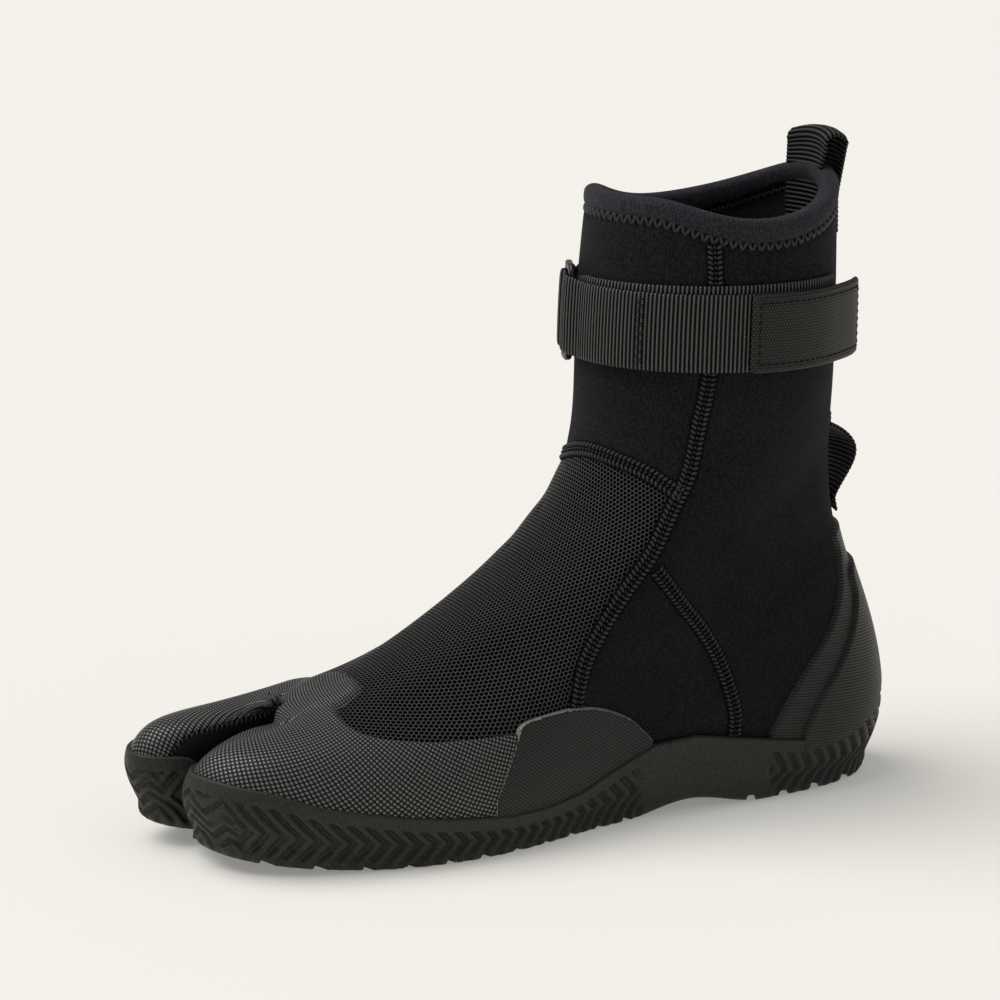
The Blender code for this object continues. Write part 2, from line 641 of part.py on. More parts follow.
def build_heel_loop(form, finish, collection):
    """The webbing loop on the back of the heel, sewn at both ends and bowed clear between them."""
    u = facet_columns(-HEEL_LOOP_HALF_U, HEEL_LOOP_HALF_U)[::2]
    clear = 3 * SEAT_GAP + LOOP_THICK / 2
    centre = []
    for z in np.linspace(HEEL_LOOP_LOW, HEEL_LOOP_HIGH, 13):
        ends = min(z - HEEL_LOOP_LOW, HEEL_LOOP_HIGH - z) - HEEL_LOOP_SEWN
        lift = HEEL_LOOP_BOW * smooth(ends / HEEL_LOOP_EASE)
        centre.append(band_point(form, u, z, np.full(len(u), clear)) + (0, lift, 0))
    centre = np.array(centre)
    run = np.gradient(centre, axis=0)
    across = np.stack([np.zeros(run.shape[:2]), run[..., 2], -run[..., 1]], axis=-1)
    across *= LOOP_THICK / 2 / np.linalg.norm(across, axis=-1, keepdims=True)
    return add_object("heel_pull_loop", *thick_sheet(centre - across, centre + across), finish, collection)


def tread_cutter(cutters):
    """Chevron grooves under the forefoot and heel, open at the sole's edges."""
    points = []
    faces = []
    for tread in (FORE_TREAD, HEEL_TREAD):
        for y in np.arange(tread.first, tread.last + 1, LUG_PITCH):
            arm = tread.point * CHEVRON_REACH * CHEVRON_SWEEP
            line = [(-CHEVRON_REACH, y + arm), (0.0, y), (CHEVRON_REACH, y + arm)]
            plan = line + [(x, along + GROOVE_WIDTH) for x, along in line[::-1]]
            base = len(points)
            count = len(plan)
            points += [(x, along, -20.0) for x, along in plan]
            points += [(x, along, sole_bottom(along) + GROOVE_DEPTH) for x, along in plan]
            for i in range(count):
                here, beside = base + i, base + (i + 1) % count
                faces.append((here, beside, beside + count, here + count))
            for level in (0, count):
                faces += [tuple(base + level + i for i in quad) for quad in ((0, 1, 4, 5), (1, 2, 3, 4))]
    return add_object("tread_grooves", points, faces, None, cutters)


def clear_scene():
    """Start from an empty scene."""
    for existing in list(bpy.data.objects):
        bpy.data.objects.remove(existing)


def new_collection(name, hidden):
    """A collection under the scene's own."""
    made = bpy.data.collections.new(name)
    made.hide_render = hidden
    bpy.context.scene.collection.children.link(made)
    return made


def main():
    """Build every piece of the boot."""
    clear_scene()
    parts = new_collection(BOOT_NAME, False)
    cutters = new_collection("cutters", True)
    collections = (parts, cutters)

    neoprene = material("neoprene", (0.012, 0.013, 0.016), 0.8)
    sole_rubber = material("sole_rubber", (0.016, 0.016, 0.018), 0.65)
    overlay_rubber = material("overlay_rubber", (0.022, 0.022, 0.024), 0.6)
    webbing = material("webbing", (0.013, 0.013, 0.015), 0.75)
    ring_plastic = material("ring_plastic", (0.01, 0.01, 0.011), 0.4)
    tab_rubber = material("tab_rubber", (0.06, 0.06, 0.065), 0.6)
    foam = material("insole_foam", (0.015, 0.015, 0.016), 0.9)

    form = UpperForm()
    u = facet_columns(0, COLUMNS)[:-1]
    rows = upper_rows(form, u)
    build_upper(form, u, rows, neoprene, parts)
    outsole = build_outsole(form, u, rows, sole_rubber, parts)
    cut(outsole, tread_cutter(cutters), "DIFFERENCE")
    build_insole(form, u, foam, parts)

    wide = (-90.0, 90.0)
    toe_outline = above_lip(TOE_CAP_EDGE, -160.0, -37.5) + [(-160.0, 90.0)]
    toe_cap = overlay(
        "toe_cap", form, (4, 20), (1, 11), SEAT_GAP, OVERLAY, toe_outline, wide, overlay_rubber, collections
    )
    cut(toe_cap, slot_cutter(cutters), "DIFFERENCE")
    guard_outline = above_lip(SIDE_GUARD_EDGE, -36.5, 36.0)
    overlay(
        "side_guard_lateral", form, (3, 8), (1, 9), SEAT_GAP, OVERLAY, guard_outline, (10.0, 90.0),
        overlay_rubber, collections,
    )
    overlay(
        "side_guard_medial", form, (16, 21), (1, 9), SEAT_GAP, OVERLAY, guard_outline, (-90.0, -10.0),
        overlay_rubber, collections,
    )
    heel_outline = above_lip(HEEL_COUNTER_EDGE, 85.0, 160.0)
    overlay(
        "heel_counter", form, (-4, 4), (1, 12), SEAT_GAP, OVERLAY, heel_outline, wide,
        overlay_rubber, collections,
    )
    ridge_outline = above_lip(HEEL_RIDGE_EDGE, 99.0, 160.0)
    overlay(
        "heel_counter_ridge", form, (-4, 4), (1, 12), 2 * SEAT_GAP + OVERLAY, OVERLAY, ridge_outline, wide,
        overlay_rubber, collections,
    )

    build_strap(form, webbing, parts)
    build_ring(form, ring_plastic, parts)
    build_anchor(form, webbing, parts)
    build_tab(form, tab_rubber, parts)
    build_pull_loop(form, webbing, parts)
    build_heel_loop(form, webbing, parts)
    for tool in cutters.objects:
        tool.hide_render = True
        tool.display_type = "WIRE"


main()
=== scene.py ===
"""Looks of the left split-toe wetsuit boot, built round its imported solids.

The toes point towards -Y, the outer side of the foot towards +X. Tables and sizes are in millimetres,
as in the part's own source, and each finished mesh is in metres.
"""

import logging
from dataclasses import dataclass
from enum import Enum, IntEnum
from typing import Callable, NamedTuple

import bmesh
import bpy
import numpy as np
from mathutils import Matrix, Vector
from mathutils.geometry import delaunay_2d_cdt


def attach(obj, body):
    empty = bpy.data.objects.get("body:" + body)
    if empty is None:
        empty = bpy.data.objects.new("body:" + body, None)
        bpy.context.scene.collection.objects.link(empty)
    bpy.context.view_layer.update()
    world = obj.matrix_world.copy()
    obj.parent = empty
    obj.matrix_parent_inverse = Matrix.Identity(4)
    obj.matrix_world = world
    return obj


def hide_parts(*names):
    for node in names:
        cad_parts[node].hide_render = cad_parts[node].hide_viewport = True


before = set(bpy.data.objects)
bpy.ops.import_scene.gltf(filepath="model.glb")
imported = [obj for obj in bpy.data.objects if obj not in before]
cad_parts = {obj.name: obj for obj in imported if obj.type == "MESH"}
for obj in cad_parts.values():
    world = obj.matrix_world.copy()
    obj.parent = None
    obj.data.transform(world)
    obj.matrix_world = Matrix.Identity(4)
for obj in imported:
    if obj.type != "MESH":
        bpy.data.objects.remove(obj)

LOG = logging.getLogger("boot")
Array = np.ndarray
Tree = bpy.types.NodeTree
Socket = bpy.types.NodeSocket
Value = Socket | float | tuple[float, ...]

# A millimetre in metres, the least length to divide by, how many points are measured at a time, and the
# distance under which border points are one
MM = 0.001
TINY = 1e-9
BATCH = 4000
JOIN = 0.01
FRAME_SHIFT = np.array((-0.36, -4.97, 0.0))

# Walls and gaps
WALL = 4.0
SEAT_GAP = 0.35
OVERLAY = 1.3
GUARD_LIFT = 2.2

# Sole
LIP = 2.7
SLOT_LIP = 1.0
SOLE_FLOOR = 7.6
SPRING_START = -58.0
SPRING_TIP = -146.0
SPRING_RISE = 11.0
ARCH_MIDDLE = 55.0
ARCH_REACH = 30.0
ARCH_RISE = 4.5
HEEL_BEVEL_START = 134.0
HEEL_BEVEL_SLOPE = 0.22

# Toe slot
SLOT_ROOT = (-11.0, -88.0)
SLOT_MOUTH_X = -7.0
SLOT_FADE = 12.0
SLOT_COLUMN = 12
SLOT_HALF_COLUMNS = 2.6
SLOT_BLEND = 0.9
SLOT_LIP_RING = 0.6

# Shoulders that give way beside the slot: place and reach across, start and fade of each limit, and how far
EASE_X, EASE_WIDE = 1.5, 8.0
EASE_ROOT_X, EASE_ROOT_FADE = -9.0, 7.0
EASE_FRONT_Y, EASE_FRONT_FADE = -148.0, 14.0
EASE_REAR_Y, EASE_REAR_FADE = -80.0, 12.0
EASE_FOOT_Z, EASE_FOOT_FADE = 8.0, 20.0
EASE_BY = np.array((2.6, 0.0, -2.4))
# The hollow behind the slot's root: its middle, reach and filling
HOLLOW_AT = np.array((-16.0, -92.0, 47.0))
HOLLOW_REACH = np.array((4.0, 6.0, 3.5))
HOLLOW_BY = np.array((3.0, 0.0, 0.8))

COLUMNS = 24
FRONT_COLUMN = 12
LIP_TOP_RING = 7
SIDE_FACING = 0.15
FINE_STEPS = 40


def table(kind: type, *rows: tuple[float, ...]) -> tuple:
    """Rows of numbers as named tuples of one kind."""
    return tuple(kind(*row) for row in rows)


class Side(Enum):
    """The two sides of the foot, as the sign of x."""

    OUTER = 1
    INNER = -1


class Topline(NamedTuple):
    """Rise of the collar at an angle round the shaft from the back."""

    angle: float
    rise: float


COLLAR_LINE = table(
    Topline, (0, 12.5), (16, 11.0), (34, 6.8), (55, 1.4), (78, -2.4), (100, -2.9), (118, 0.2), (140, 5.4),
    (180, 6.3),
)


class Ring(NamedTuple):
    """One ring of the upper, from the edge that the sole closes to the collar."""

    z_front: float
    z_back: float
    y_front: float
    y_back: float
    heel: float
    waist_out: float
    ball_out: float
    toe_out: float
    waist_in: float
    ball_in: float
    toe_in: float
    slot: float
    round: float


RINGS = table(
    Ring,
    (8.0, 8.0, -136, 144, 29.0, 32.0, 47.5, 40.0, 28.0, 45.5, 42.0, 3.0, 0.00),
    (17.0, 21.0, -140, 149, 32.5, 35.0, 50.5, 43.0, 31.0, 48.5, 45.0, 3.0, 0.00),
    (25.0, 36.0, -139, 149, 34.0, 37.0, 50.0, 42.0, 33.0, 48.0, 45.0, 3.4, 0.00),
    (33.0, 51.0, -133, 146, 34.0, 38.0, 47.5, 38.5, 34.5, 46.0, 41.5, 3.9, 0.00),
    (38.5, 65.0, -121, 141.5, 34.0, 38.0, 44.0, 33.5, 35.5, 43.0, 36.0, 5.0, 0.00),
    (44.5, 79.0, -102, 136, 34.0, 38.0, 40.5, 28.0, 36.0, 40.0, 30.0, 7.0, 0.06),
    (53.5, 93.0, -77, 131, 34.0, 38.0, 37.0, 25.0, 36.5, 37.0, 26.0, 9.0, 0.30),
    (65.0, 107.0, -50, 127.5, 34.0, 38.5, 36.0, 25.0, 37.5, 36.0, 25.5, 9.0, 0.50),
    (81.5, 121.0, -20, 126, 34.0, 39.5, 37.5, 28.0, 39.0, 37.5, 28.0, 9.0, 0.70),
    (100.0, 135.0, 4, 125.5, 34.0, 41.0, 39.5, 31.0, 41.0, 39.5, 31.0, 9.0, 0.88),
    (124.0, 150.0, 23, 125.5, 34.0, 43.0, 41.5, 34.0, 43.0, 41.5, 34.0, 9.0, 1.00),
    (152.0, 167.0, 27.5, 125.5, 34.0, 44.0, 42.0, 34.0, 44.0, 42.0, 34.0, 9.0, 1.00),
    (186.0, 192.0, 28.5, 125.5, 34.0, 44.5, 42.0, 34.0, 44.5, 42.0, 34.0, 9.0, 1.00),
    (221.0, 221.0, 33, 125.0, 34.0, 43.5, 42.0, 34.0, 43.5, 42.0, 34.0, 9.0, 1.00),
)
TOP_RING = len(RINGS) - 1

SIDE_RUN_OUT = (0.035, 0.13, 0.29, 0.45, 0.63, 0.82)
SIDE_RUN_IN = (0.035, 0.13, 0.30, 0.47, 0.69, 0.86)
SHAFT_ANGLE = (16, 34, 55, 78, 100, 118, 132, 144, 153, 162, 171)
FRONT_RUN = (0.90, 0.945, 0.97, 0.987, 0.997)
FRONT_WIDTH = (0.80, 0.62, 0.46, 0.31, 0.15)
SLOT_SHARE = (0.42, 0.80)
HEEL_CORNER = 0.62
HEEL_SWELL = 0.5


class Lobe(NamedTuple):
    """One toe lobe: side of the slot, its tip, outer corner and slot corner."""

    side: int
    tip_x: float
    tip_back: float
    corner_share: float
    corner_back: float
    mouth_back: float
    mouth_round: float


OUTER_LOBE = Lobe(1, 9.0, 9.0, 0.70, 9.5, 5.0, 2.5)
INNER_LOBE = Lobe(-1, -25.0, 0.0, 0.90, 12.0, 7.0, 3.0)


class Place(NamedTuple):
    """A point of a line drawn on the side view of the boot."""

    y: float
    z: float


LIP_LINE = table(
    Place, (-150, 33), (-128, 33), (-112, 30), (-95, 24.5), (-64, 19), (-28, 15), (-10, 15), (4, 17),
    (20, 23), (36, 29), (54, 30), (76, 26), (100, 22), (122, 24), (136, 30), (144, 40), (150, 50),
    (154, 53),
)
TOE_CAP_EDGE = table(
    Place, (-68, 90), (-67, 60), (-68, 56), (-74, 53), (-79.5, 50), (-77, 46.5), (-70, 44.5), (-54, 43),
    (-28, 43), (-17, 42), (-15, 37), (-22, 18),
)
SIDE_GUARD_EDGE = table(
    Place, (-34.5, 22), (-25, 40.5), (-21, 46), (-10, 48), (1, 48.6), (13, 46.5), (25, 41), (32, 35),
    (36, 31),
)
HEEL_COUNTER_EDGE = table(
    Place, (86, 26), (93, 38), (103, 51), (113, 63), (119.5, 76), (121.5, 88), (122, 97), (160, 100),
)
HEEL_RIDGE_EDGE = table(
    Place, (100, 26), (107, 38), (116, 49), (123, 60), (127, 71), (128.5, 82), (160, 85),
)

# Seams of the upper on its side view, from top to bottom.
MAIN_SEAM = table(
    Place, (57.5, 209), (57.5, 195), (55.7, 164), (52.8, 146), (49.0, 128), (42.5, 115), (34.5, 100),
    (24.4, 87.4), (15, 75), (6.5, 62.5), (2.2, 48.5), (1.0, 40),
)
HEEL_SEAM = table(
    Place, (36.5, 93.5), (47.2, 80), (56.3, 69), (63, 57.9), (68, 46), (70.8, 35.7), (71, 26),
)


class FrontPlace(NamedTuple):
    """A point of a line drawn round the front of the shaft, by column and height."""

    column: float
    z: float


VAMP_TOP = table(
    FrontPlace, (5.9, 121.0), (7.4, 128.0), (8.9, 131.2), (10.8, 133.0), (12.2, 132.2), (13.6, 129.8),
    (15.1, 127.0), (16.6, 124.2), (18.1, 120.0),
)


def smooth(value: Array) -> Array:
    """Eased step from 0 to 1."""
    share = np.clip(value, 0.0, 1.0)
    return share * share * (3 - 2 * share)


def toe_spring(y: Array) -> Array:
    """Lift of the sole's underside towards the toes."""
    return SPRING_RISE * np.clip((SPRING_START - y) / (SPRING_START - SPRING_TIP), 0, 1.2) ** 2


def sole_bottom(y: Array) -> Array:
    """Height of the tread: flat at ball and heel, raised at the arch, the toes and the back edge."""
    arch = ARCH_RISE * smooth(1 - np.abs(y - ARCH_MIDDLE) / ARCH_REACH)
    return toe_spring(y) + arch + HEEL_BEVEL_SLOPE * np.clip(y - HEEL_BEVEL_START, 0, None)


def lip_height(y: Array) -> Array:
    """Height of the sole's lip at this place along the foot."""
    return np.interp(y, *np.transpose(LIP_LINE))


def slot_share(u: Array) -> Array:
    """1 for columns on the slot's walls, 0 for the rest of the foot."""
    return smooth((SLOT_HALF_COLUMNS - np.abs(u % COLUMNS - SLOT_COLUMN)) / SLOT_BLEND)


def unit(vectors: Array) -> Array:
    """The same directions at length 1."""
    return vectors / np.maximum(np.linalg.norm(vectors, axis=-1, keepdims=True), TINY)


def through(points: Array, per_span: int = 10) -> Array:
    """Smooth open line through a short table of points.

    Args:
        points: The table, one row per point.
        per_span: Steps between two rows.

    Returns:
        The line's points, with the table's own rows among them.
    """
    rows = np.asarray(points, float)
    padded = np.vstack([2 * rows[0] - rows[1], rows, 2 * rows[-1] - rows[-2]])
    f = np.linspace(0, 1, per_span, endpoint=False)[:, None]
    spans = []
    for a, b, c, d in zip(padded, padded[1:], padded[2:], padded[3:]):
        bend = 2 * a - 5 * b + 4 * c - d
        spans.append(b + 0.5 * f * (c - a + f * (bend + f * (3 * (b - c) + d - a))))
    return np.vstack(spans + [rows[-1:]])


def length_along(points: Array) -> Array:
    """Length from the first point of a line to each of its points."""
    return np.concatenate([[0], np.cumsum(np.linalg.norm(np.diff(points, axis=0), axis=1))])


def distance_to(points: Array, line: Array) -> Array:
    """Distance of each point from a line of short straight steps, in the points' own dimensions.

    Args:
        points: The points, one row each.
        line: The line's points in order.

    Returns:
        One distance per point.
    """
    start, run = line[:-1], np.diff(line, axis=0)
    squared = np.maximum((run * run).sum(axis=1), TINY)
    found = np.empty(len(points))
    for first in range(0, len(points), BATCH):
        some = points[first: first + BATCH, None] - start[None]
        along = np.clip((some * run).sum(axis=2) / squared, 0, 1)
        found[first: first + BATCH] = np.linalg.norm(some - along[..., None] * run, axis=2).min(axis=1)
    return found


def turn_between(first: Array, second: Array) -> Array:
    """Cross products of rows of plane vectors."""
    return first[:, 0] * second[:, 1] - first[:, 1] * second[:, 0]


def ridges(along: Array, pitch: float) -> Array:
    """A soft wave from 0 to 1 that starts on a ridge."""
    return 0.5 + 0.5 * np.cos(2 * np.pi * along / pitch)


def inside(points: Array, outline: Array) -> Array:
    """Whether each plane point lies in a closed outline.

    Args:
        points: Rows of plane points.
        outline: The outline's points in order.

    Returns:
        True for each point inside.
    """
    x, y = points[:, :1], points[:, 1:]
    ax, ay = outline.T
    bx, by = np.roll(outline, -1, axis=0).T
    rise = np.where(np.abs(by - ay) < TINY, TINY, by - ay)
    crosses = ((ay > y) != (by > y)) & (x < ax + (y - ay) / rise * (bx - ax))
    return crosses.sum(axis=1) % 2 == 1


def toe_columns(ring: Ring, lobe: Lobe, toe: float) -> Array:
    """Plan places of the five columns from the outer toe corner to the rear of the slot wall.

    Args:
        ring: The ring's sizes.
        lobe: The toe lobe's sizes.
        toe: Half width at the toes.

    Returns:
        Rows of x and y.
    """
    side = lobe.side
    tip_y = ring.y_front + lobe.tip_back
    notch = smooth((SLOT_ROOT[1] - tip_y) / SLOT_FADE)
    mouth_y = tip_y + lobe.mouth_back
    walls = [mouth_y + share * (SLOT_ROOT[1] - mouth_y) for share in SLOT_SHARE]
    reach = max(SLOT_ROOT[1] - ring.y_front, 1.0)

    def slot_edge(y: float) -> float:
        """Place across the foot of the slot's wall."""
        towards_mouth = np.clip((SLOT_ROOT[1] - y) / reach, 0, 1)
        return SLOT_ROOT[0] + towards_mouth * (SLOT_MOUTH_X - SLOT_ROOT[0]) + side * ring.slot

    notched = [(side * lobe.corner_share * toe, tip_y + lobe.corner_back), (lobe.tip_x, tip_y)]
    notched += [(slot_edge(mouth_y) + side * lobe.mouth_round, mouth_y)]
    notched += [(slot_edge(y), y) for y in walls]
    length = ring.y_back - ring.y_front
    plain = [
        (side * toe * width, ring.y_back - run * length)
        for width, run in zip(FRONT_WIDTH, FRONT_RUN)
    ]
    return notch * np.array(notched) + (1 - notch) * np.array(plain)


def ring_side(ring: Ring, lobe: Lobe, run: tuple, waist: float, ball: float, toe: float) -> Array:
    """Plan places of one side of a ring, from the heel corner to the rear of the slot wall.

    Args:
        ring: The ring's sizes.
        lobe: The toe lobe on that side.
        run: Shares of the ring's length at which the side's columns stand.
        waist: Half width at the waist.
        ball: Half width at the ball.
        toe: Half width at the toes.

    Returns:
        Rows of x and y.
    """
    length = ring.y_back - ring.y_front
    corner, full = HEEL_CORNER * ring.heel, (ring.heel + waist) / 2 + HEEL_SWELL
    widths = (corner, ring.heel, full, waist, ball, toe)
    foot = [(lobe.side * width, ring.y_back - share * length) for width, share in zip(widths, run)]
    foot = np.vstack([foot, toe_columns(ring, lobe, toe)])
    angle = np.radians(SHAFT_ANGLE)
    shaft_x = lobe.side * waist * np.sin(angle)
    shaft_y = ring.y_back - length * (1 - np.cos(angle)) / 2
    shaft = np.stack([shaft_x, shaft_y], axis=1)
    return ring.round * shaft + (1 - ring.round) * foot


def ring_points(ring: Ring) -> Array:
    """The control points of one ring: back, outer side, slot root or front, inner side.

    Args:
        ring: The ring's sizes.

    Returns:
        Rows of x, y and z.
    """
    outer = ring_side(ring, OUTER_LOBE, SIDE_RUN_OUT, ring.waist_out, ring.ball_out, ring.toe_out)
    inner = ring_side(ring, INNER_LOBE, SIDE_RUN_IN, ring.waist_in, ring.ball_in, ring.toe_in)
    notch = smooth((SLOT_ROOT[1] - ring.y_front) / SLOT_FADE)
    front = notch * np.array(SLOT_ROOT) + (1 - notch) * np.array((0.0, ring.y_front))
    plan = np.vstack([(0.0, ring.y_back), outer, front, inner[::-1]])
    share = (ring.y_back - plan[:, 1]) / (ring.y_back - ring.y_front)
    z = ring.z_back + share * (ring.z_front - ring.z_back) + toe_spring(plan[:, 1])
    return np.column_stack([plan, z])


def spline_weights(place: Array, last: int, wrap: bool) -> tuple[Array, Array, Array]:
    """Cubic B-spline weights along one direction of the net.

    Args:
        place: Places in steps of the net.
        last: The net's last step.
        wrap: Whether the net closes on itself.

    Returns:
        The four steps that weigh in at each place, their values and their slopes.
    """
    cell = np.floor(place).astype(int)
    if not wrap:
        cell = np.clip(cell, 0, last - 1)
    f = place - cell
    third = -3 * f**3 + 3 * f**2 + 3 * f + 1
    value = np.stack([(1 - f) ** 3, 3 * f**3 - 6 * f**2 + 4, third, f**3], -1) / 6
    slope = np.stack([-((1 - f) ** 2), 3 * f**2 - 4 * f, -3 * f**2 + 2 * f + 1, f**2], -1) / 2
    return cell[..., None] + np.arange(-1, 3), value, slope


def slot_ease(point: Array) -> Array:
    """How far the lobes' shoulders give way beside the slot and fill out behind it.

    Args:
        point: Places on the plain surface.

    Returns:
        The moves as x, y and z.
    """
    x, y, z = np.moveaxis(point, -1, 0)
    near = np.exp(-(((x - EASE_X) / EASE_WIDE) ** 2)) * smooth((x - EASE_ROOT_X) / EASE_ROOT_FADE)
    along = smooth((y - EASE_FRONT_Y) / EASE_FRONT_FADE) * smooth((EASE_REAR_Y - y) / EASE_REAR_FADE)
    sunk = near * along * smooth((z - EASE_FOOT_Z) / EASE_FOOT_FADE)
    hollow = np.exp(-(((point - HOLLOW_AT) / HOLLOW_REACH) ** 2).sum(axis=-1))
    return sunk[..., None] * EASE_BY + hollow[..., None] * HOLLOW_BY


class LastForm:
    """The outside of the upper as one smooth function of a column u round the foot and a ring t up it."""

    def __init__(self) -> None:
        """Set the net so that its surface passes through the rings."""
        points = np.array([ring_points(ring) for ring in RINGS])
        back_angle = (0,) + SHAFT_ANGLE + (180,) + SHAFT_ANGLE[::-1]
        points[-1, :, 2] += np.interp(back_angle, *np.transpose(COLLAR_LINE))
        self.net = points
        u, t = np.meshgrid(np.arange(COLUMNS), np.arange(len(RINGS)))
        self.net = points + points - self.spline(u, t)[0]

    def at(self, u: Array, t: Array) -> tuple[Array, Array]:
        """Points and outward normals at columns u and rings t, eased beside the slot."""
        point, normal = self.spline(u, t)
        return point + slot_ease(point), normal

    def spline(self, u: Array, t: Array) -> tuple[Array, Array]:
        """The plain surface.

        Args:
            u: Columns.
            t: Rings, of a shape that goes with the columns'.

        Returns:
            Points and outward normals.
        """
        u, t = np.broadcast_arrays(np.asarray(u, float), np.asarray(t, float))
        ends = 2 * self.net[[0, -1]] - self.net[[1, -2]]
        net = np.concatenate([ends[:1], self.net, ends[1:]])
        columns, u_value, u_slope = spline_weights(u, COLUMNS, True)
        rows, t_value, t_slope = spline_weights(t, TOP_RING, False)
        patch = net[(rows + 1)[..., :, None], columns[..., None, :] % COLUMNS]
        point = np.einsum("...i,...j,...ijk->...k", t_value, u_value, patch)
        along_u = np.einsum("...i,...j,...ijk->...k", t_value, u_slope, patch)
        along_t = np.einsum("...i,...j,...ijk->...k", t_slope, u_value, patch)
        return point, unit(np.cross(along_t, along_u))

    def offset(self, u: Array, t: Array, distance: Array | float) -> Array:
        """Points this far outside the upper's surface, or inside it when negative."""
        point, normal = self.at(u, t)
        return point + normal * np.asarray(distance, float)[..., None]

    def ring_at_height(self, u: Array, z: Array | float) -> Array:
        """Where columns reach a height.

        Args:
            u: Columns.
            z: One height, or one for each column.

        Returns:
            The ring t of each column.
        """
        t = np.linspace(0, TOP_RING, FINE_STEPS * TOP_RING + 1)
        heights = self.at(np.asarray(u, float)[:, None], t[None, :])[0][..., 2]
        heights = np.maximum.accumulate(heights, axis=1)
        wanted = np.broadcast_to(z, len(u))
        return np.array([np.interp(height, row, t) for height, row in zip(wanted, heights)])

    def beside(self, u: Array, z: Array | float, distance: Array | float) -> Array:
        """Points this far outside the shaft at column u and height z."""
        return self.offset(u, self.ring_at_height(u, z), distance)

    def lip_rings(self, u: Array) -> Array:
        """Where the sole's lip lies; inside the slot it is only a low edge.

        Args:
            u: Columns.

        Returns:
            The ring t of the lip at each column.
        """
        fine = np.linspace(0, LIP_TOP_RING, FINE_STEPS * LIP_TOP_RING + 1)
        points = self.at(u[:, None], fine[None, :])[0]
        below = points[..., 2] - lip_height(points[..., 1])
        high = np.array([np.interp(0.0, np.maximum.accumulate(row), fine) for row in below])
        share = slot_share(u)
        return share * SLOT_LIP_RING + (1 - share) * high

    def even_columns(self, first: float, last: float, count: int, t: float) -> Array:
        """Columns at even steps of length along a ring.

        Args:
            first: First column.
            last: Last column.
            count: How many columns.
            t: The ring.

        Returns:
            The columns.
        """
        u = np.linspace(first, last, 4801)
        length = length_along(self.at(u, np.full(len(u), t))[0])
        return np.interp(np.linspace(0, length[-1], count), length, u)

    def rim(self, u: Array) -> Array:
        """Points of the top ring."""
        return self.at(u, np.full(len(u), float(TOP_RING)))[0]

    def side_places(self, line: Array, side: Side) -> tuple[Array, Array]:
        """Where a line on the side view lies on one side of the upper.

        Args:
            line: Rows of y and z.
            side: The side of the foot.

        Returns:
            The columns and rings of the line's points.
        """
        first = 0 if side is Side.OUTER else FRONT_COLUMN
        u, t = np.meshgrid(np.linspace(first, first + COLUMNS / 2, 241), np.linspace(0, TOP_RING, 261))
        point, normal = self.at(u, t)
        hidden = 1e6 * (normal[..., 0] * side.value < SIDE_FACING)
        near = [np.argmin((point[..., 1] - y) ** 2 + (point[..., 2] - z) ** 2 + hidden) for y, z in line]
        place = np.array([u.ravel()[near], t.ravel()[near]])
        step, most = 1e-3, 0.1
        for _ in range(4):
            here = self.at(*place)[0][:, 1:]
            by_u = (self.at(place[0] + step, place[1])[0][:, 1:] - here) / step
            by_t = (self.at(place[0], place[1] + step)[0][:, 1:] - here) / step
            miss = np.asarray(line) - here
            moves = np.array([turn_between(miss, by_t), turn_between(by_u, miss)])
            place += np.clip(moves / turn_between(by_u, by_t), -most, most)
        return place[0], place[1]


@dataclass
class Patch:
    """Part of a mesh: points in millimetres, and faces with their corners' places on the cloth.

    Attributes:
        points: Rows of x, y and z.
        faces: Rows of point numbers, three, four or more to a row.
        cloth: For each face corner, its place along and across the material in millimetres.
        finish: Which of the piece's finishes each face has.
    """

    points: Array
    faces: Array
    cloth: Array | None = None
    finish: Array | int = 0


def grid_patch(points: Array, cloth: Array | None = None, wrap: bool = False, flip: bool = False) -> Patch:
    """Quads over a grid of points, facing the side from which rows run up and columns run left.

    Args:
        points: Grid of rows, columns and x, y, z.
        cloth: Places on the cloth for the same grid, with one column more where it wraps.
        wrap: Whether the last column joins the first.
        flip: Whether the faces turn to the other side.

    Returns:
        The quads as one patch.
    """
    rows, columns = points.shape[:2]
    wide = columns + 1 if wrap else columns
    row, column = np.meshgrid(np.arange(rows - 1), np.arange(wide - 1), indexing="ij")
    corners = [(row, column), (row + 1, column), (row + 1, column + 1), (row, column + 1)]
    if flip:
        corners.reverse()
    faces = np.stack([r * columns + c % columns for r, c in corners], axis=-1).reshape(-1, 4)
    if cloth is not None:
        cloth = np.stack([cloth[r, c] for r, c in corners], axis=-2).reshape(-1, 4, 2)
    return Patch(points.reshape(-1, 3), faces, cloth)


def sheet_patches(inner: Array, outer: Array, cloth: Array) -> list[Patch]:
    """A closed sheet between two grids of one shape: both faces and the four edges.

    Args:
        inner: Grid of the side towards the foot.
        outer: Grid of the side that shows.
        cloth: Places on the cloth for the grid.

    Returns:
        Patches that share their border places.
    """
    patches = [grid_patch(outer, cloth), grid_patch(inner, cloth, flip=True)]
    for edge, turn in (
        (np.s_[0], False), (np.s_[-1], True), (np.s_[:, 0], True), (np.s_[:, -1], False),
    ):
        rim = np.stack([inner[edge], outer[edge]])
        patches.append(grid_patch(rim, np.stack([cloth[edge], cloth[edge]]), flip=turn))
    return patches


def add_object(name: str, data: bpy.types.ID) -> bpy.types.Object:
    """Put a new object in the scene.

    Args:
        name: Its name.
        data: Its mesh, light or camera.

    Returns:
        The object.
    """
    made = bpy.data.objects.new(name, data)
    bpy.context.scene.collection.objects.link(made)
    return made


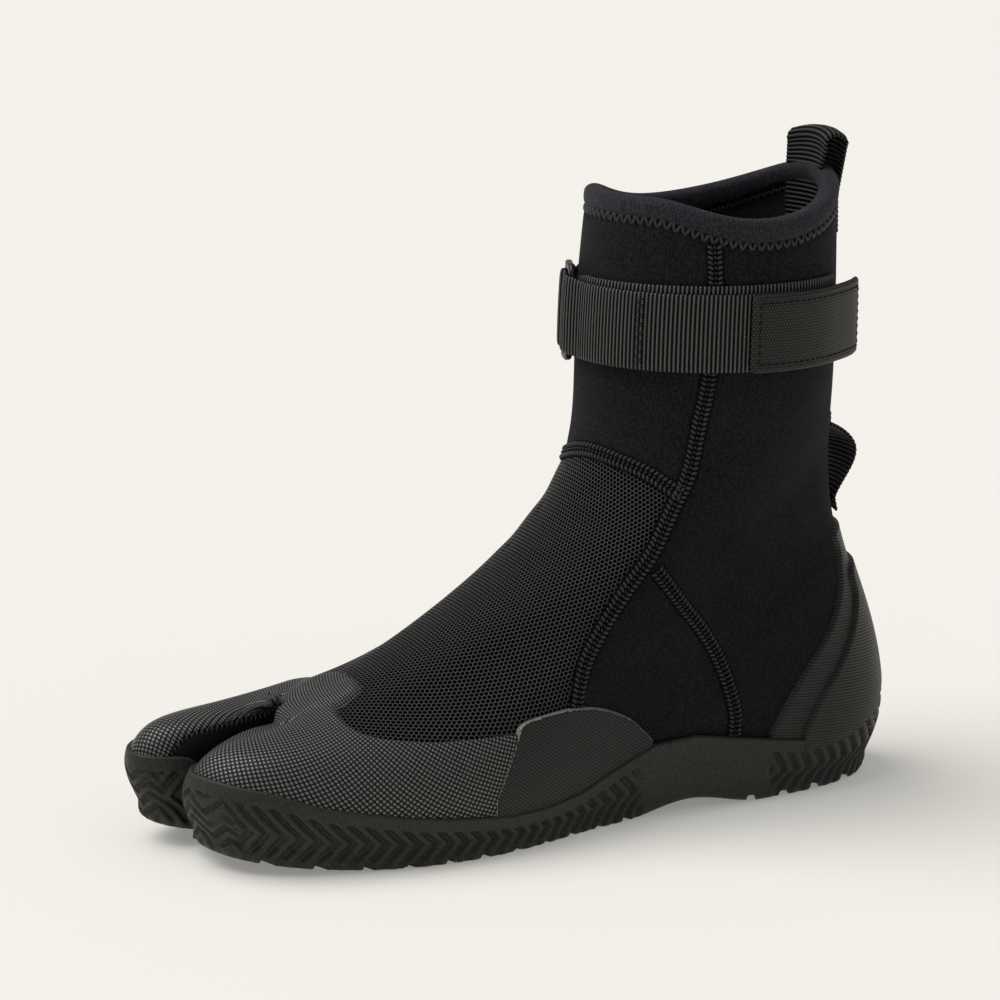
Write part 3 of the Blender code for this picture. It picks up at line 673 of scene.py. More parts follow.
def flatten(points: Array) -> Array:
    """Lay a grid of points flat without shear, as a cutter's pattern does.

    Args:
        points: Grid of rows, columns and x, y, z.

    Returns:
        The grid's places on the flat cloth in the same units, its middle column running upwards.
    """
    rows, columns = points.shape[:2]
    patch = grid_patch(points)
    mesh = bpy.data.meshes.new("pattern")
    mesh.from_pydata(patch.points.tolist(), [], patch.faces.tolist())
    mesh.uv_layers.new(name="flat")
    pattern = add_object("pattern", mesh)
    bpy.context.view_layer.objects.active = pattern
    bpy.ops.object.mode_set(mode="EDIT")
    bpy.ops.mesh.select_all(action="SELECT")
    bpy.ops.uv.unwrap(method="MINIMUM_STRETCH", margin=0.0)
    bpy.ops.object.mode_set(mode="OBJECT")
    corner, place = np.empty(len(mesh.loops), int), np.empty(2 * len(mesh.loops))
    mesh.loops.foreach_get("vertex_index", corner)
    mesh.uv_layers["flat"].data.foreach_get("uv", place)
    flat = np.empty((rows * columns, 2))
    flat[corner] = place.reshape(-1, 2)
    bpy.data.objects.remove(pattern)
    bpy.data.meshes.remove(mesh)
    flat = flat.reshape(rows, columns, 2)
    drawn = np.linalg.norm(np.diff(flat, axis=1), axis=2)
    flat *= np.median(np.linalg.norm(np.diff(points, axis=1), axis=2) / np.maximum(drawn, TINY))
    up = unit(flat[-1, columns // 2] - flat[0, columns // 2])
    return flat @ np.array([(up[1], up[0]), (-up[0], up[1])])


def look_up(grid: Array, row: Array, column: Array) -> Array:
    """Values between the points of a grid.

    Args:
        grid: Grid of rows, columns and values.
        row: Row numbers with their fractions.
        column: Column numbers with their fractions.

    Returns:
        One set of values per place.
    """
    i = np.clip(row.astype(int), 0, grid.shape[0] - 2)
    j = np.clip(column.astype(int), 0, grid.shape[1] - 2)
    f, g = (row - i)[..., None], (column - j)[..., None]
    lower = grid[i, j] * (1 - g) + grid[i, j + 1] * g
    upper = grid[i + 1, j] * (1 - g) + grid[i + 1, j + 1] * g
    return lower * (1 - f) + upper * f


@dataclass
class Pattern:
    """A panel of the boot laid flat, as it was cut.

    Attributes:
        u: Columns of the panel's grid.
        low: Lowest ring of each column.
        high: Top ring.
        flat: The grid's places on the flat cloth, in millimetres.
    """

    u: Array
    low: Array
    high: float
    flat: Array

    def places(self, u: Array, t: Array) -> Array:
        """Places on the flat cloth.

        Args:
            u: Columns.
            t: Rings, of the same shape.

        Returns:
            One place in millimetres for each.
        """
        base = np.interp(u, self.u, self.low)
        row = np.clip((t - base) / (self.high - base), 0, 1) * (len(self.flat) - 1)
        column = np.clip((u - self.u[0]) / (self.u[-1] - self.u[0]), 0, 1) * (len(self.u) - 1)
        return look_up(self.flat, row, column)


def cut_pattern(form: LastForm, u: Array, low: Array, high: float, rows: int = 49) -> Pattern:
    """Lay flat the panel of the upper at these columns, from their lowest rings to one top ring."""
    share = np.linspace(0, 1, rows)[:, None]
    return Pattern(u, low, high, flatten(form.at(u[None, :], low + share * (high - low))[0]))


def fill_outline(rim: Array, points: list = (), edges: list = ()) -> tuple[Array, Array]:
    """Fill a closed outline with triangles, in plan.

    Args:
        rim: The outline's points, of which x and y count.
        points: More places in the plan.
        edges: More edges to keep, as pairs of numbers that count on from the outline's points.

    Returns:
        Plan places, and the triangles' rows of place numbers.
    """
    count = len(rim)
    loop = [(i, (i + 1) % count) for i in range(count)]
    plan = [tuple(place) for place in rim[:, :2]] + list(points)
    found, _, faces, *_ = delaunay_2d_cdt(plan, loop + list(edges), [list(range(count))], 1, 1e-5)
    triangles = [tuple(face) for face in faces if len(face) == 3]
    return np.array([tuple(place) for place in found]), np.array(triangles)


def weld(name: str, mesh: bpy.types.Mesh, join: float) -> None:
    """Merge border points that coincide, drop points without faces and turn the faces outwards.

    Args:
        name: The piece, for the log.
        mesh: The mesh to change.
        join: Largest distance between points that are one, in millimetres.
    """
    work = bmesh.new()
    work.from_mesh(mesh)
    before = len(work.verts)
    bmesh.ops.remove_doubles(work, verts=work.verts, dist=join * MM)
    bmesh.ops.delete(work, geom=[point for point in work.verts if not point.link_faces], context="VERTS")
    bmesh.ops.recalc_face_normals(work, faces=work.faces)
    LOG.debug("%s: %d points merged", name, before - len(work.verts))
    work.to_mesh(mesh)
    work.free()


def add_piece(
    name: str, patches: list[Patch], finishes: list[bpy.types.Material],
    stands_for: tuple[str, ...] = (), join: float = 0.0,
) -> bpy.types.Object:
    """Make one piece of the boot from patches, dress it and seat it on the frame.

    Args:
        name: The piece's name.
        patches: Its parts, in millimetres.
        finishes: Its materials, in the order that the patches number them.
        stands_for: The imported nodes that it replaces.
        join: Distance in millimetres under which border points are merged, or 0 for none.

    Returns:
        The new object.
    """
    bases = np.cumsum([0] + [len(patch.points) for patch in patches])
    corners = [(patch.faces + base).ravel() for patch, base in zip(patches, bases)]
    bare = [np.zeros((patch.faces.size, 2)) for patch in patches]
    cloth = [
        none if patch.cloth is None else patch.cloth.reshape(-1, 2) for patch, none in zip(patches, bare)
    ]
    finish = [np.broadcast_to(patch.finish, len(patch.faces)) for patch in patches]
    placed = (np.vstack([patch.points for patch in patches]) + FRAME_SHIFT) * MM
    sizes = np.concatenate([np.full(*patch.faces.shape) for patch in patches])
    mesh = bpy.data.meshes.new(name)
    mesh.vertices.add(len(placed))
    mesh.vertices.foreach_set("co", placed.ravel())
    mesh.loops.add(int(sizes.sum()))
    mesh.loops.foreach_set("vertex_index", np.concatenate(corners))
    mesh.polygons.add(len(sizes))
    mesh.polygons.foreach_set("loop_start", np.concatenate([[0], np.cumsum(sizes)[:-1]]))
    mesh.polygons.foreach_set("material_index", np.concatenate(finish))
    mesh.uv_layers.new(name="cloth")
    mesh.uv_layers["cloth"].data.foreach_set("uv", np.vstack(cloth).ravel())
    mesh.update(calc_edges=True)
    mesh.validate()
    if join:
        weld(name, mesh, join)
    mesh.polygons.foreach_set("use_smooth", np.ones(len(mesh.polygons), bool))
    for material in finishes:
        mesh.materials.append(material)
    piece = add_object(name, mesh)
    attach(piece, "root")
    if stands_for:
        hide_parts(*stands_for)
    LOG.info("%s: %d triangles", name, sum(len(p.vertices) - 2 for p in mesh.polygons))
    return piece


def linear(colour: str) -> tuple[float, float, float, float]:
    """Turn an sRGB hex colour to the linear values that a shader takes.

    Args:
        colour: The colour as # and six digits.

    Returns:
        Red, green, blue and alpha.
    """
    parts = np.array([int(colour[i: i + 2], 16) for i in (1, 3, 5)]) / 255
    low, high = parts / 12.92, ((parts + 0.055) / 1.055) ** 2.4
    return (*np.where(parts <= 0.04045, low, high).tolist(), 1.0)


def add_node(
    tree: Tree, kind: str, inputs: dict[str | int, Value] | None = None, **settings: str,
) -> bpy.types.Node:
    """Add a shader node with its settings and links.

    Args:
        tree: The material's or world's nodes.
        kind: The node's type.
        inputs: For each input, by name or number, a socket to link or a value to set.
        settings: The node's own properties.

    Returns:
        The new node.
    """
    node = tree.nodes.new(kind)
    for setting, value in settings.items():
        setattr(node, setting, value)
    for socket, value in (inputs or {}).items():
        if isinstance(value, Socket):
            tree.links.new(value, node.inputs[socket])
        else:
            node.inputs[socket].default_value = value
    return node


def empty_tree(owner: bpy.types.Material | bpy.types.World) -> Tree:
    """Clear the nodes of a material or world.

    Args:
        owner: The material or world.

    Returns:
        Its nodes.
    """
    owner.use_nodes = True
    owner.node_tree.nodes.clear()
    return owner.node_tree


def sums(tree: Tree, operation: str, *values: Value) -> Socket:
    """The result of one step of arithmetic on sockets and numbers."""
    return add_node(tree, "ShaderNodeMath", dict(enumerate(values)), operation=operation).outputs[0]


def mixed(tree: Tree, first: Socket, second: Socket, share: float) -> Socket:
    """Two patterns in one: this share of the first, and the second for the rest."""
    return sums(tree, "MULTIPLY_ADD", first, share, sums(tree, "MULTIPLY", second, 1 - share))


def wave(tree: Tree, along: Socket, pitch: float) -> Socket:
    """A soft wave from 0 to 1 that repeats at this pitch, in the units of the place along it."""
    turned = sums(tree, "COSINE", sums(tree, "MULTIPLY", along, 2 * np.pi / pitch))
    return sums(tree, "MULTIPLY_ADD", turned, 0.5, 0.5)


def hexagons(tree: Tree, x: Socket, y: Socket, pitch: float) -> Socket:
    """Round cells on a hexagonal lattice.

    Args:
        tree: The material's nodes.
        x: Place along the cloth.
        y: Place across it.
        pitch: Distance between two cells.

    Returns:
        A pattern that is 1 at each cell's middle and 0 between them.
    """
    rise = pitch * np.sqrt(3) / 2
    slant = sums(tree, "MULTIPLY", y, 0.5 * pitch / rise)
    parts = [
        wave(tree, sums(tree, "ADD", x, slant), pitch),
        wave(tree, sums(tree, "SUBTRACT", x, slant), pitch),
        wave(tree, y, rise),
    ]
    return sums(tree, "MULTIPLY", sums(tree, "ADD", sums(tree, "ADD", *parts[:2]), parts[2]), 1 / 3)


def edged(tree: Tree, value: Socket, none: float, full: float) -> Socket:
    """A pattern sharpened to run from 0 at one value to 1 at another."""
    limits = {"Value": value, "From Min": none, "From Max": full}
    return add_node(tree, "ShaderNodeMapRange", limits, interpolation_type="SMOOTHSTEP").outputs[0]


class Texture(Enum):
    """The fine relief that a finish has."""

    KNIT = "knit"
    HONEYCOMB = "honeycomb"
    PILE = "pile"
    GRID = "grid"
    LINES = "lines"
    DOTS = "dots"
    RIB = "rib"
    MOULD = "mould"


# Unevenness of every finish: size of its patches and specks in millimetres, the patches' share in the
# colour, the limits between which the colour runs, and the spread of the roughness
PATCH_SIZE = 38.0
SPECK_SIZE = 0.9
PATCH_SHARE = 0.55
SPECK_LIMITS = (0.35, 0.65)
COLOUR_LIMITS = (0.2, 0.8)
ROUGH_SPREAD = 0.16
FUZZ_ROUGHNESS = 0.45


@dataclass(frozen=True)
class Finish:
    """One material as it is made, and what that gives the eye.

    Attributes:
        name: What the material is and how it was made.
        colour: Its colour as sRGB hex.
        shade: Its colour in the relief's hollows, as painted shade, and in random worn or dusty patches, as
            sRGB hex.
        roughness: Typical roughness of the surface.
        texture: The kind of fine relief.
        pitch: Size of one repeat of the relief in millimetres.
        relief: Depth of the relief in millimetres.
        contrast: Share of the relief, rather than of blotches and specks, in the colour; the relief's hollows
            take the shade colour as painted shade.
        gloss: Share of the full mirror reflection that is left; pores and fibres trap most of it.
        sheen: How much fuzz catches the light.
        ior: Index of refraction.
    """

    name: str
    colour: str
    shade: str
    roughness: float
    texture: Texture
    pitch: float
    relief: float
    contrast: float = 0.5
    gloss: float = 0.5
    sheen: float = 0.0
    ior: float = 1.5

    def height(self, tree: Tree) -> Socket:
        """Draw the relief along and across the cloth.

        Args:
            tree: The material's nodes.

        Returns:
            A height from 0 to 1.
        """
        cloth = add_node(tree, "ShaderNodeUVMap", uv_map="cloth").outputs[0]
        axes = add_node(tree, "ShaderNodeSeparateXYZ", {0: cloth}).outputs
        x, y = axes[0], axes[1]
        if self.texture is Texture.KNIT:
            wale = wave(tree, x, self.pitch)
            bend = sums(tree, "MULTIPLY", wale, self.pitch * 0.7)
            course = wave(tree, sums(tree, "ADD", y, bend), self.pitch * 0.8)
            return mixed(tree, wale, course, 0.5)
        if self.texture is Texture.HONEYCOMB:
            return edged(tree, hexagons(tree, x, y, self.pitch), 0.56, 0.22)
        if self.texture is Texture.GRID:
            nubs = sums(tree, "MULTIPLY", wave(tree, x, self.pitch), wave(tree, y, self.pitch))
            return edged(tree, nubs, 0.0, 0.42)
        if self.texture is Texture.LINES:
            return wave(tree, sums(tree, "MULTIPLY_ADD", x, 0.35, y), self.pitch)
        if self.texture is Texture.DOTS:
            return edged(tree, hexagons(tree, x, y, self.pitch), 0.3, 0.8)
        if self.texture is Texture.RIB:
            rib = edged(tree, sums(tree, "SUBTRACT", 1.0, wave(tree, x, self.pitch)), 0.25, 0.85)
            yarn = wave(tree, sums(tree, "MULTIPLY_ADD", x, 0.4, y), 0.9)
            return mixed(tree, rib, yarn, 0.7)
        place = add_node(tree, "ShaderNodeTexCoord").outputs["Object"]
        detail = 6.0 if self.texture is Texture.PILE else 3.0
        noise = {"Vector": place, "Scale": 1 / (self.pitch * MM), "Detail": detail}
        return add_node(tree, "ShaderNodeTexNoise", noise).outputs[0]

    def material(self) -> bpy.types.Material:
        """Make the material's nodes.

        Returns:
            A material with varied colour and roughness, relief as bump, and painted shade in the relief's
            hollows.
        """
        made = bpy.data.materials.new(self.name)
        tree = empty_tree(made)
        height = self.height(tree)
        place = add_node(tree, "ShaderNodeTexCoord").outputs["Object"]
        patches = {"Vector": place, "Scale": 1 / (PATCH_SIZE * MM), "Detail": 5.0, "Roughness": 0.6}
        uneven = add_node(tree, "ShaderNodeTexNoise", patches).outputs[0]
        specks = {"Vector": place, "Scale": 1 / (SPECK_SIZE * MM), "Detail": 2.0}
        speck = edged(tree, add_node(tree, "ShaderNodeTexNoise", specks).outputs[0], *SPECK_LIMITS)
        blotch = mixed(tree, uneven, speck, PATCH_SHARE)
        # The colour runs from the shade colour, in the relief's hollows as painted shade and in random dark
        # patches, to the full colour.
        ramp = add_node(tree, "ShaderNodeValToRGB", {0: mixed(tree, height, blotch, self.contrast)})
        for stop, colour, limit in zip(ramp.color_ramp.elements, (self.shade, self.colour), COLOUR_LIMITS):
            stop.color = linear(colour)
            stop.position = limit
        rough = sums(tree, "MULTIPLY_ADD", uneven, ROUGH_SPREAD, self.roughness - ROUGH_SPREAD / 2)
        hollows = self.gloss * (1 - self.contrast)
        shine = sums(tree, "MULTIPLY_ADD", height, self.gloss * self.contrast, hollows)
        bump = add_node(
            tree, "ShaderNodeBump", {"Height": height, "Distance": self.relief * MM, "Strength": 1.0}
        )
        shader = add_node(
            tree, "ShaderNodeBsdfPrincipled",
            {
                "Base Color": ramp.outputs[0], "Roughness": rough, "Normal": bump.outputs[0], "IOR": self.ior,
                "Specular IOR Level": shine, "Sheen Weight": self.sheen,
                "Sheen Roughness": FUZZ_ROUGHNESS,
            },
        )
        add_node(tree, "ShaderNodeOutputMaterial", {"Surface": shader.outputs[0]})
        return made


# Each finish's shade colour fills the hollows of its relief as painted shade.
# Nylon jersey glued to foamed neoprene: a matt, faintly blue black with a soft edge of fuzz. The knit is
# drawn at about twice its real 0.5 mm, so that it shows.
JERSEY = Finish(
    "jersey_faced_neoprene", "#242428", "#060608", 0.8, Texture.KNIT, 1.1, 0.14, contrast=0.3, gloss=0.08,
    sheen=0.03,
)
# The same jersey turned over at the collar, painted paler: painted light where the light falls on the roll.
PAINTED_LIGHT_HEM_JERSEY = Finish(
    "turned_jersey_hem_painted_light", "#393940", "#121216", 0.75, Texture.KNIT, 1.1, 0.14, contrast=0.3, gloss=0.1,
    sheen=0.05,
)
# Knitted air mesh over the instep: round pores between pale yarns, their dark floors painted shade.
VAMP_MESH = Finish(
    "knitted_air_mesh", "#464647", "#010101", 0.42, Texture.HONEYCOMB, 1.65, 0.9, contrast=0.97, gloss=0.3,
)
# Smooth-skin neoprene in the slot: foam with its closed skin left on, darker and a little shiny.
SMOOTH_SKIN = Finish("smooth_skin_neoprene", "#151516", "#0E0E0F", 0.5, Texture.MOULD, 2.0, 0.05, gloss=0.25)
# Brushed nylon lining inside the shaft: short pile that scatters light.
LINING = Finish(
    "brushed_nylon_lining", "#2A2A2E", "#131316", 0.9, Texture.PILE, 0.9, 0.25, gloss=0.05, sheen=0.02,
)
# Rubber sheet moulded with a fine square grid, its small squares painted pale as painted highlight and its
# grooves dark as painted shade.
CAP_RUBBER = Finish(
    "grid_moulded_rubber", "#616160", "#1A1A1A", 0.38, Texture.GRID, 1.18, 0.45, contrast=0.86, gloss=0.6,
)
# Rubber sheet moulded with fine lines, on the sides and heel.
LINE_RUBBER = Finish(
    "line_moulded_rubber", "#2B2B29", "#171716", 0.48, Texture.LINES, 1.2, 0.16, gloss=0.32,
)
# The guards' cut edge, painted pale: a painted highlight where the edge catches the light.
PAINTED_HIGHLIGHT_EDGE_RUBBER = Finish("cut_rubber_edge_painted_highlight", "#8C8C88", "#4A4A47", 0.45, Texture.MOULD, 0.8, 0.08, gloss=0.4)
# Compression-moulded outsole rubber: even, matt, with a faint bloom.
SOLE_RUBBER = Finish(
    "compression_moulded_rubber", "#32322F", "#191917", 0.5, Texture.MOULD, 0.8, 0.1, contrast=0.3, gloss=0.3,
)
# Polyester webbing: ribs in the mesh, yarns in the relief; the grooves between the ribs are painted near
# black as painted shade.
WEBBING = Finish(
    "woven_polyester_webbing", "#525251", "#020202", 0.5, Texture.RIB, 1.55, 0.3, contrast=1.0, gloss=0.3,
)
# Grosgrain tape of the pull loops, the grooves between its ribs painted near black as painted shade.
GROSGRAIN = Finish(
    "woven_grosgrain_tape", "#3A3A3B", "#020202", 0.55, Texture.RIB, 1.7, 0.25, contrast=1.0, gloss=0.25,
)
# Injection-moulded acetal ring: satin black with a fine spark-eroded grain.
RING_PLASTIC = Finish("moulded_acetal", "#141415", "#0F0F10", 0.34, Texture.MOULD, 0.5, 0.03, gloss=0.5)
# Rubberised pull tab with fine moulded dots.
TAB_RUBBER = Finish(
    "dot_moulded_rubber", "#31312F", "#1A1A18", 0.5, Texture.DOTS, 1.2, 0.14, contrast=0.6, gloss=0.3,
)
# Bonded polyester thread, a little paler than the cloth that it crosses.
THREAD = Finish("bonded_polyester_thread", "#3A3A3E", "#1C1C1F", 0.5, Texture.MOULD, 0.5, 0.06, gloss=0.32)
# The cloth's own edges under the flatlock threads, pressed down and painted darker: painted shade between the
# threads.
SEAM_EDGE = Finish("overlocked_jersey_edge", "#131315", "#050506", 0.85, Texture.KNIT, 1.1, 0.14, gloss=0.05)
# Dark thread of the tab and strap stitches.
DARK_THREAD = Finish("black_polyester_thread", "#101011", "#070708", 0.6, Texture.MOULD, 0.5, 0.06, gloss=0.2)
# Waxed thread that overcasts the cap's cut edge in the slot.
EDGE_THREAD = Finish("waxed_nylon_thread", "#4A4A4B", "#1A1A1B", 0.45, Texture.MOULD, 0.5, 0.06, gloss=0.4)
# Insole of foam faced with a flat knit.
INSOLE_CLOTH = Finish("knit_faced_foam", "#161618", "#0E0E10", 0.88, Texture.KNIT, 1.3, 0.15, gloss=0.06)


def add_stitches(start: Array, end: Array, normal: Array, radius: float, rise: float) -> list[Patch]:
    """Threads that dip into the cloth at both ends and bow up between them.

    Args:
        start: Rows of first ends.
        end: Rows of second ends.
        normal: Rows of directions out of the cloth.
        radius: Half the thread's thickness in millimetres.
        rise: Height of the bow in millimetres.

    Returns:
        The threads' sides and their two ends.
    """
    rings, sides, end_size = 6, 6, 0.6
    along = np.linspace(0, 1, rings)
    bow = np.sin(np.pi * along)
    run = unit(end - start)
    across = unit(np.cross(normal, run))
    line = start[:, None] + (end - start)[:, None] * along[:, None]
    line = line + normal[:, None] * (rise * bow - radius * end_size)[:, None]
    angle = np.linspace(0, 2 * np.pi, sides, endpoint=False)
    round_way = across[:, None] * np.cos(angle)[:, None] + normal[:, None] * np.sin(angle)[:, None]
    thick = radius * (end_size + (1 - end_size) * bow)
    points = line[:, :, None] + thick[:, None, None] * round_way[:, None]
    ring, side = np.meshgrid(np.arange(rings - 1), np.arange(sides), indexing="ij")
    beside = (side + 1) % sides
    here, ahead = ring * sides, (ring + 1) * sides
    quad = np.stack([here + side, here + beside, ahead + beside, ahead + side], -1).reshape(-1, 4)
    first = np.arange(len(start))[:, None, None] * rings * sides
    faces = (first + quad).reshape(-1, 4)
    flat = points.reshape(-1, 3)
    ends = [np.arange(sides)[::-1], (rings - 1) * sides + np.arange(sides)]
    caps = np.vstack([first[:, 0] + end_face for end_face in ends])
    spare = np.zeros((0, 3))
    return [Patch(flat, faces), Patch(spare, caps - len(flat))]


@dataclass
class SewnLine:
    """A line of points on the upper with the directions that sewing needs."""

    point: Array
    normal: Array

    @property
    def run(self) -> Array:
        """Directions along the line."""
        return unit(np.gradient(self.point, axis=0))

    @property
    def across(self) -> Array:
        """Directions across the line, in the cloth."""
        return unit(np.cross(self.normal, self.run))

    def spaced(self, pitch: float) -> "SewnLine":
        """The same line with points at an even pitch.

        Args:
            pitch: The pitch in millimetres.

        Returns:
            The new line.
        """
        length = length_along(self.point)
        places = np.linspace(0, length[-1], max(int(length[-1] / pitch), 2) + 1)
        both = np.hstack([self.point, self.normal])
        even = np.stack([np.interp(places, length, column) for column in both.T], axis=1)
        return SewnLine(even[:, :3], unit(even[:, 3:]))


# Steps between two points of a seam's table, and the pitch in millimetres at which the seam is drawn
SEAM_STEPS = 14
SEAM_PITCH = 1.0
# Cross-section of a seam band, as shares of its half width and its height
SEAM_PROFILE = (
    (-1.2, -0.8), (-1.0, 0.45), (-0.6, 1.0), (-0.15, 0.75), (0.0, 0.3), (0.15, 0.75), (0.6, 1.0),
    (1.0, 0.45), (1.2, -0.8),
)


class StitchRow(NamedTuple):
    """One row of a flatlock seam: place and half length in half bands, slant in pitches, thread radius."""

    place: float
    slant: float
    half_length: float
    thread: float


STITCH_ROWS = (
    StitchRow(-0.58, 0.3, 0.34, 0.6), StitchRow(0.58, -0.3, 0.34, 0.6), StitchRow(0.0, 0.22, 0.12, 0.42),
)


class Zigzag(NamedTuple):
    """The collar's zigzag outside (1) or on the lining (-1): depth and place of its line, half width, bow."""

    way: int
    depth: float
    place: float
    half: float
    rise: float


ZIGZAGS = (Zigzag(1, 0.4, 0.4, 1.9, 0.7), Zigzag(-1, WALL + 0.1, 1.6, 1.4, 0.6))


class Panel(IntEnum):
    """The upper's finishes, in the order of its materials."""

    JERSEY = 0
    MESH = 1
    SLOT = 2
    LINING = 3
    # The rolled collar's paler jersey, painted light.
    HEM = 4


@dataclass
class Upper:
    """The neoprene boot: panels, seams, rolled collar and lining."""

    form: LastForm
    columns: int = 400
    rows: int = 112
    collar_rows: int = 36
    lining_rows: int = 42
    collar_start: float = 12.45
    top: float = 12.91
    rim_rise: float = 3.0
    hem_depth: float = 8.8
    hem_swell: float = 0.75
    turn_in_swell: float = 2.7
    turn_in_middle: float = 4.0
    turn_in_half: float = 5.6
    hem_edge: float = 0.8
    cover_pitch: float = 3.5
    cover_dip: float = 0.75
    cover_reach: float = 1.5
    scallop: float = 0.55
    scallop_drop: float = 2.3
    scallop_reach: float = 1.2
    rim_step: int = 12
    under_lip: float = 0.35
    lining_foot: float = 0.2
    seam_dip: float = 0.5
    seam_reach: float = 3.3
    band_half: float = 2.8
    band_rise: float = 0.5
    stitch_pitch: float = 1.8
    stitch_rise: float = 0.4
    thread: float = 0.64
    vamp_columns: tuple[float, float] = (4.0, 20.0)
    vamp_ring: float = 10.7
    vamp_low: float = 2.4
    vamp_front_rise: float = 2.5
    vamp_front_half: float = 5.4
    vamp_front_fade: float = 2.4
    slot_half: float = 3.3
    slot_top: float = 48.0

    def side_line(self, line: tuple[Place, ...], side: Side) -> SewnLine:
        """A seam given on the side view, on one side of the upper."""
        places = self.form.side_places(through(line, SEAM_STEPS), side)
        return SewnLine(*self.form.at(*places)).spaced(SEAM_PITCH)

    def front_line(self) -> SewnLine:
        """The top edge of the instep panel, round the front of the shaft."""
        column, z = through(VAMP_TOP, SEAM_STEPS).T
        return SewnLine(*self.form.at(column, self.form.ring_at_height(column, z))).spaced(SEAM_PITCH)

    def hem_line(self) -> SewnLine:
        """Lay the line of the collar's cover stitch, all round.

        Returns:
            The line.
        """
        u = np.linspace(0, COLUMNS, 481)
        height = self.form.rim(u)[:, 2] - self.hem_depth
        return SewnLine(*self.form.at(u, self.form.ring_at_height(u, height)))

    def seam_lines(self) -> list[SewnLine]:
        """Every flatlock seam of the upper."""
        found = [self.side_line(line, side) for line in (MAIN_SEAM, HEEL_SEAM) for side in Side]
        return found + [self.front_line()]

    def relief(self, point: Array, seams: list[SewnLine]) -> Array:
        """How far the cloth stands off the plain form: seam dips and soft creases.

        Args:
            point: Rows of places on the form.
            seams: The flatlock seams.

        Returns:
            One height in millimetres per point.
        """
        lift = np.zeros(len(point))
        for seam in seams:
            near = distance_to(point, seam.point[::2])
            lift -= self.seam_dip * np.exp(-((near / self.seam_reach) ** 2))
        for crease in CREASES:
            for side in Side:
                places = self.form.side_places(through(crease.line, CREASE_STEPS), side)
                near = distance_to(point, self.form.at(*places)[0])
                lift -= crease.depth * np.exp(-((near / crease.width) ** 2))
        return lift

    def hem_relief(self, below_rim: Array, along: Array) -> Array:
        """Swell of the rolled collar above its cover stitch, a dip at the stitch and scallops under it.

        Args:
            below_rim: Height below the rim in millimetres.
            along: Length round the collar in millimetres.

        Returns:
            One height in millimetres per place.
        """
        swell = self.hem_swell * np.sin(np.pi * np.clip(below_rim / self.hem_depth, 0, 1)) ** 0.8
        past = below_rim - self.hem_depth
        pull = ridges(along, self.cover_pitch)
        dip = self.cover_dip * np.exp(-((past / self.cover_reach) ** 2))
        under = np.exp(-(((past - self.scallop_drop) / self.scallop_reach) ** 2))
        return swell - (dip + self.scallop * pull * under)

    def inside_hem(self, below_rim: Array) -> Array:
        """How far the collar's turned-in edge swells over the lining."""
        past = np.clip((below_rim - self.turn_in_middle) / self.turn_in_half, -1, 1)
        return self.turn_in_swell * np.sqrt(1 - past**2)

    def rows_of(self, u: Array) -> Array:
        """Rings of the outside's rows: even up the boot, and closer together at the collar.

        Args:
            u: Columns.

        Returns:
            Grid of rings, from the sole's lip up.
        """
        lip = np.maximum(self.form.lip_rings(u) - self.under_lip, 0.0)
        share = np.linspace(0, 1, self.rows, endpoint=False)[:, None]
        collar = np.linspace(self.collar_start, self.top, self.collar_rows)[:, None]
        return np.concatenate([lip + share * (self.collar_start - lip), np.repeat(collar, len(u), axis=1)])

    def build(self) -> None:
        """Make the outside, the rolled rim and the lining as one mesh, then the seams."""
        form = self.form
        u = np.linspace(0, COLUMNS, self.columns, endpoint=False)
        t = self.rows_of(u)
        point, normal = form.at(u[None, :], t)
        around = np.linalg.norm(np.diff(point, axis=1, append=point[:, :1]), axis=2)
        run = np.concatenate([np.zeros((len(t), 1)), np.cumsum(around, axis=1)], axis=1)
        seams = self.seam_lines()
        lift = self.relief(point.reshape(-1, 3), seams).reshape(t.shape)
        rim = form.rim(u)[:, 2]
        lift += self.hem_relief(rim - point[..., 2], run[-1, :-1])
        outer = point + normal * lift[..., None]

        inner_t = np.concatenate([
            np.linspace(self.top, self.collar_start, self.collar_rows // 2, endpoint=False),
            np.linspace(self.collar_start, self.lining_foot, self.lining_rows),
        ])
        inner_t = np.repeat(inner_t[:, None], len(u), axis=1)
        inner_point = form.at(u[None, :], inner_t)[0]
        inner = form.offset(u[None, :], inner_t, -WALL - self.inside_hem(rim - inner_point[..., 2]))
        half = np.linalg.norm(outer[-1] - inner[0], axis=1) / 2
        middle = (outer[-1] + inner[0]) / 2
        outwards = unit(outer[-1] - inner[0])
        turned = [
            middle + outwards * (half * np.cos(a))[:, None] + np.array((0, 0, self.rim_rise * np.sin(a)))
            for a in np.radians(np.arange(self.rim_step, 180, self.rim_step))
        ]
        skin = np.concatenate([outer, turned, inner])
        run -= run[:, [int(round(FRONT_COLUMN / COLUMNS * self.columns))]]
        run = np.concatenate([run, np.repeat(run[-1:], len(skin) - len(run), axis=0)])
        rise = np.linalg.norm(np.diff(skin, axis=0), axis=2)
        climb = np.concatenate([np.zeros((1, len(u))), np.cumsum(rise, axis=0)])
        climb -= climb[len(outer) - 1]
        cloth = np.stack([run, np.concatenate([climb, climb[:, :1]], axis=1)], axis=-1)
        whole = grid_patch(skin, cloth, wrap=True)
        whole.finish = self.panels(skin, u, whole.faces)
        row = whole.faces[:, 0] // len(u)
        below = rim[whole.faces[:, 0] % len(u)] - skin.reshape(-1, 3)[whole.faces, 2].mean(axis=1)
        # Faces near the rim take the paler jersey: painted light on the rolled collar.
        whole.finish[below < self.hem_depth - self.hem_edge] = Panel.HEM
        whole.finish[row >= len(outer) + len(turned) + self.collar_rows // 3] = Panel.LINING
        self.lay_mesh(whole, u, t)
        finishes = [finish.material() for finish in (JERSEY, VAMP_MESH, SMOOTH_SKIN, LINING, PAINTED_LIGHT_HEM_JERSEY)]
        add_piece("upper_neoprene", [whole], finishes, ("upper",))
        self.sew(seams)

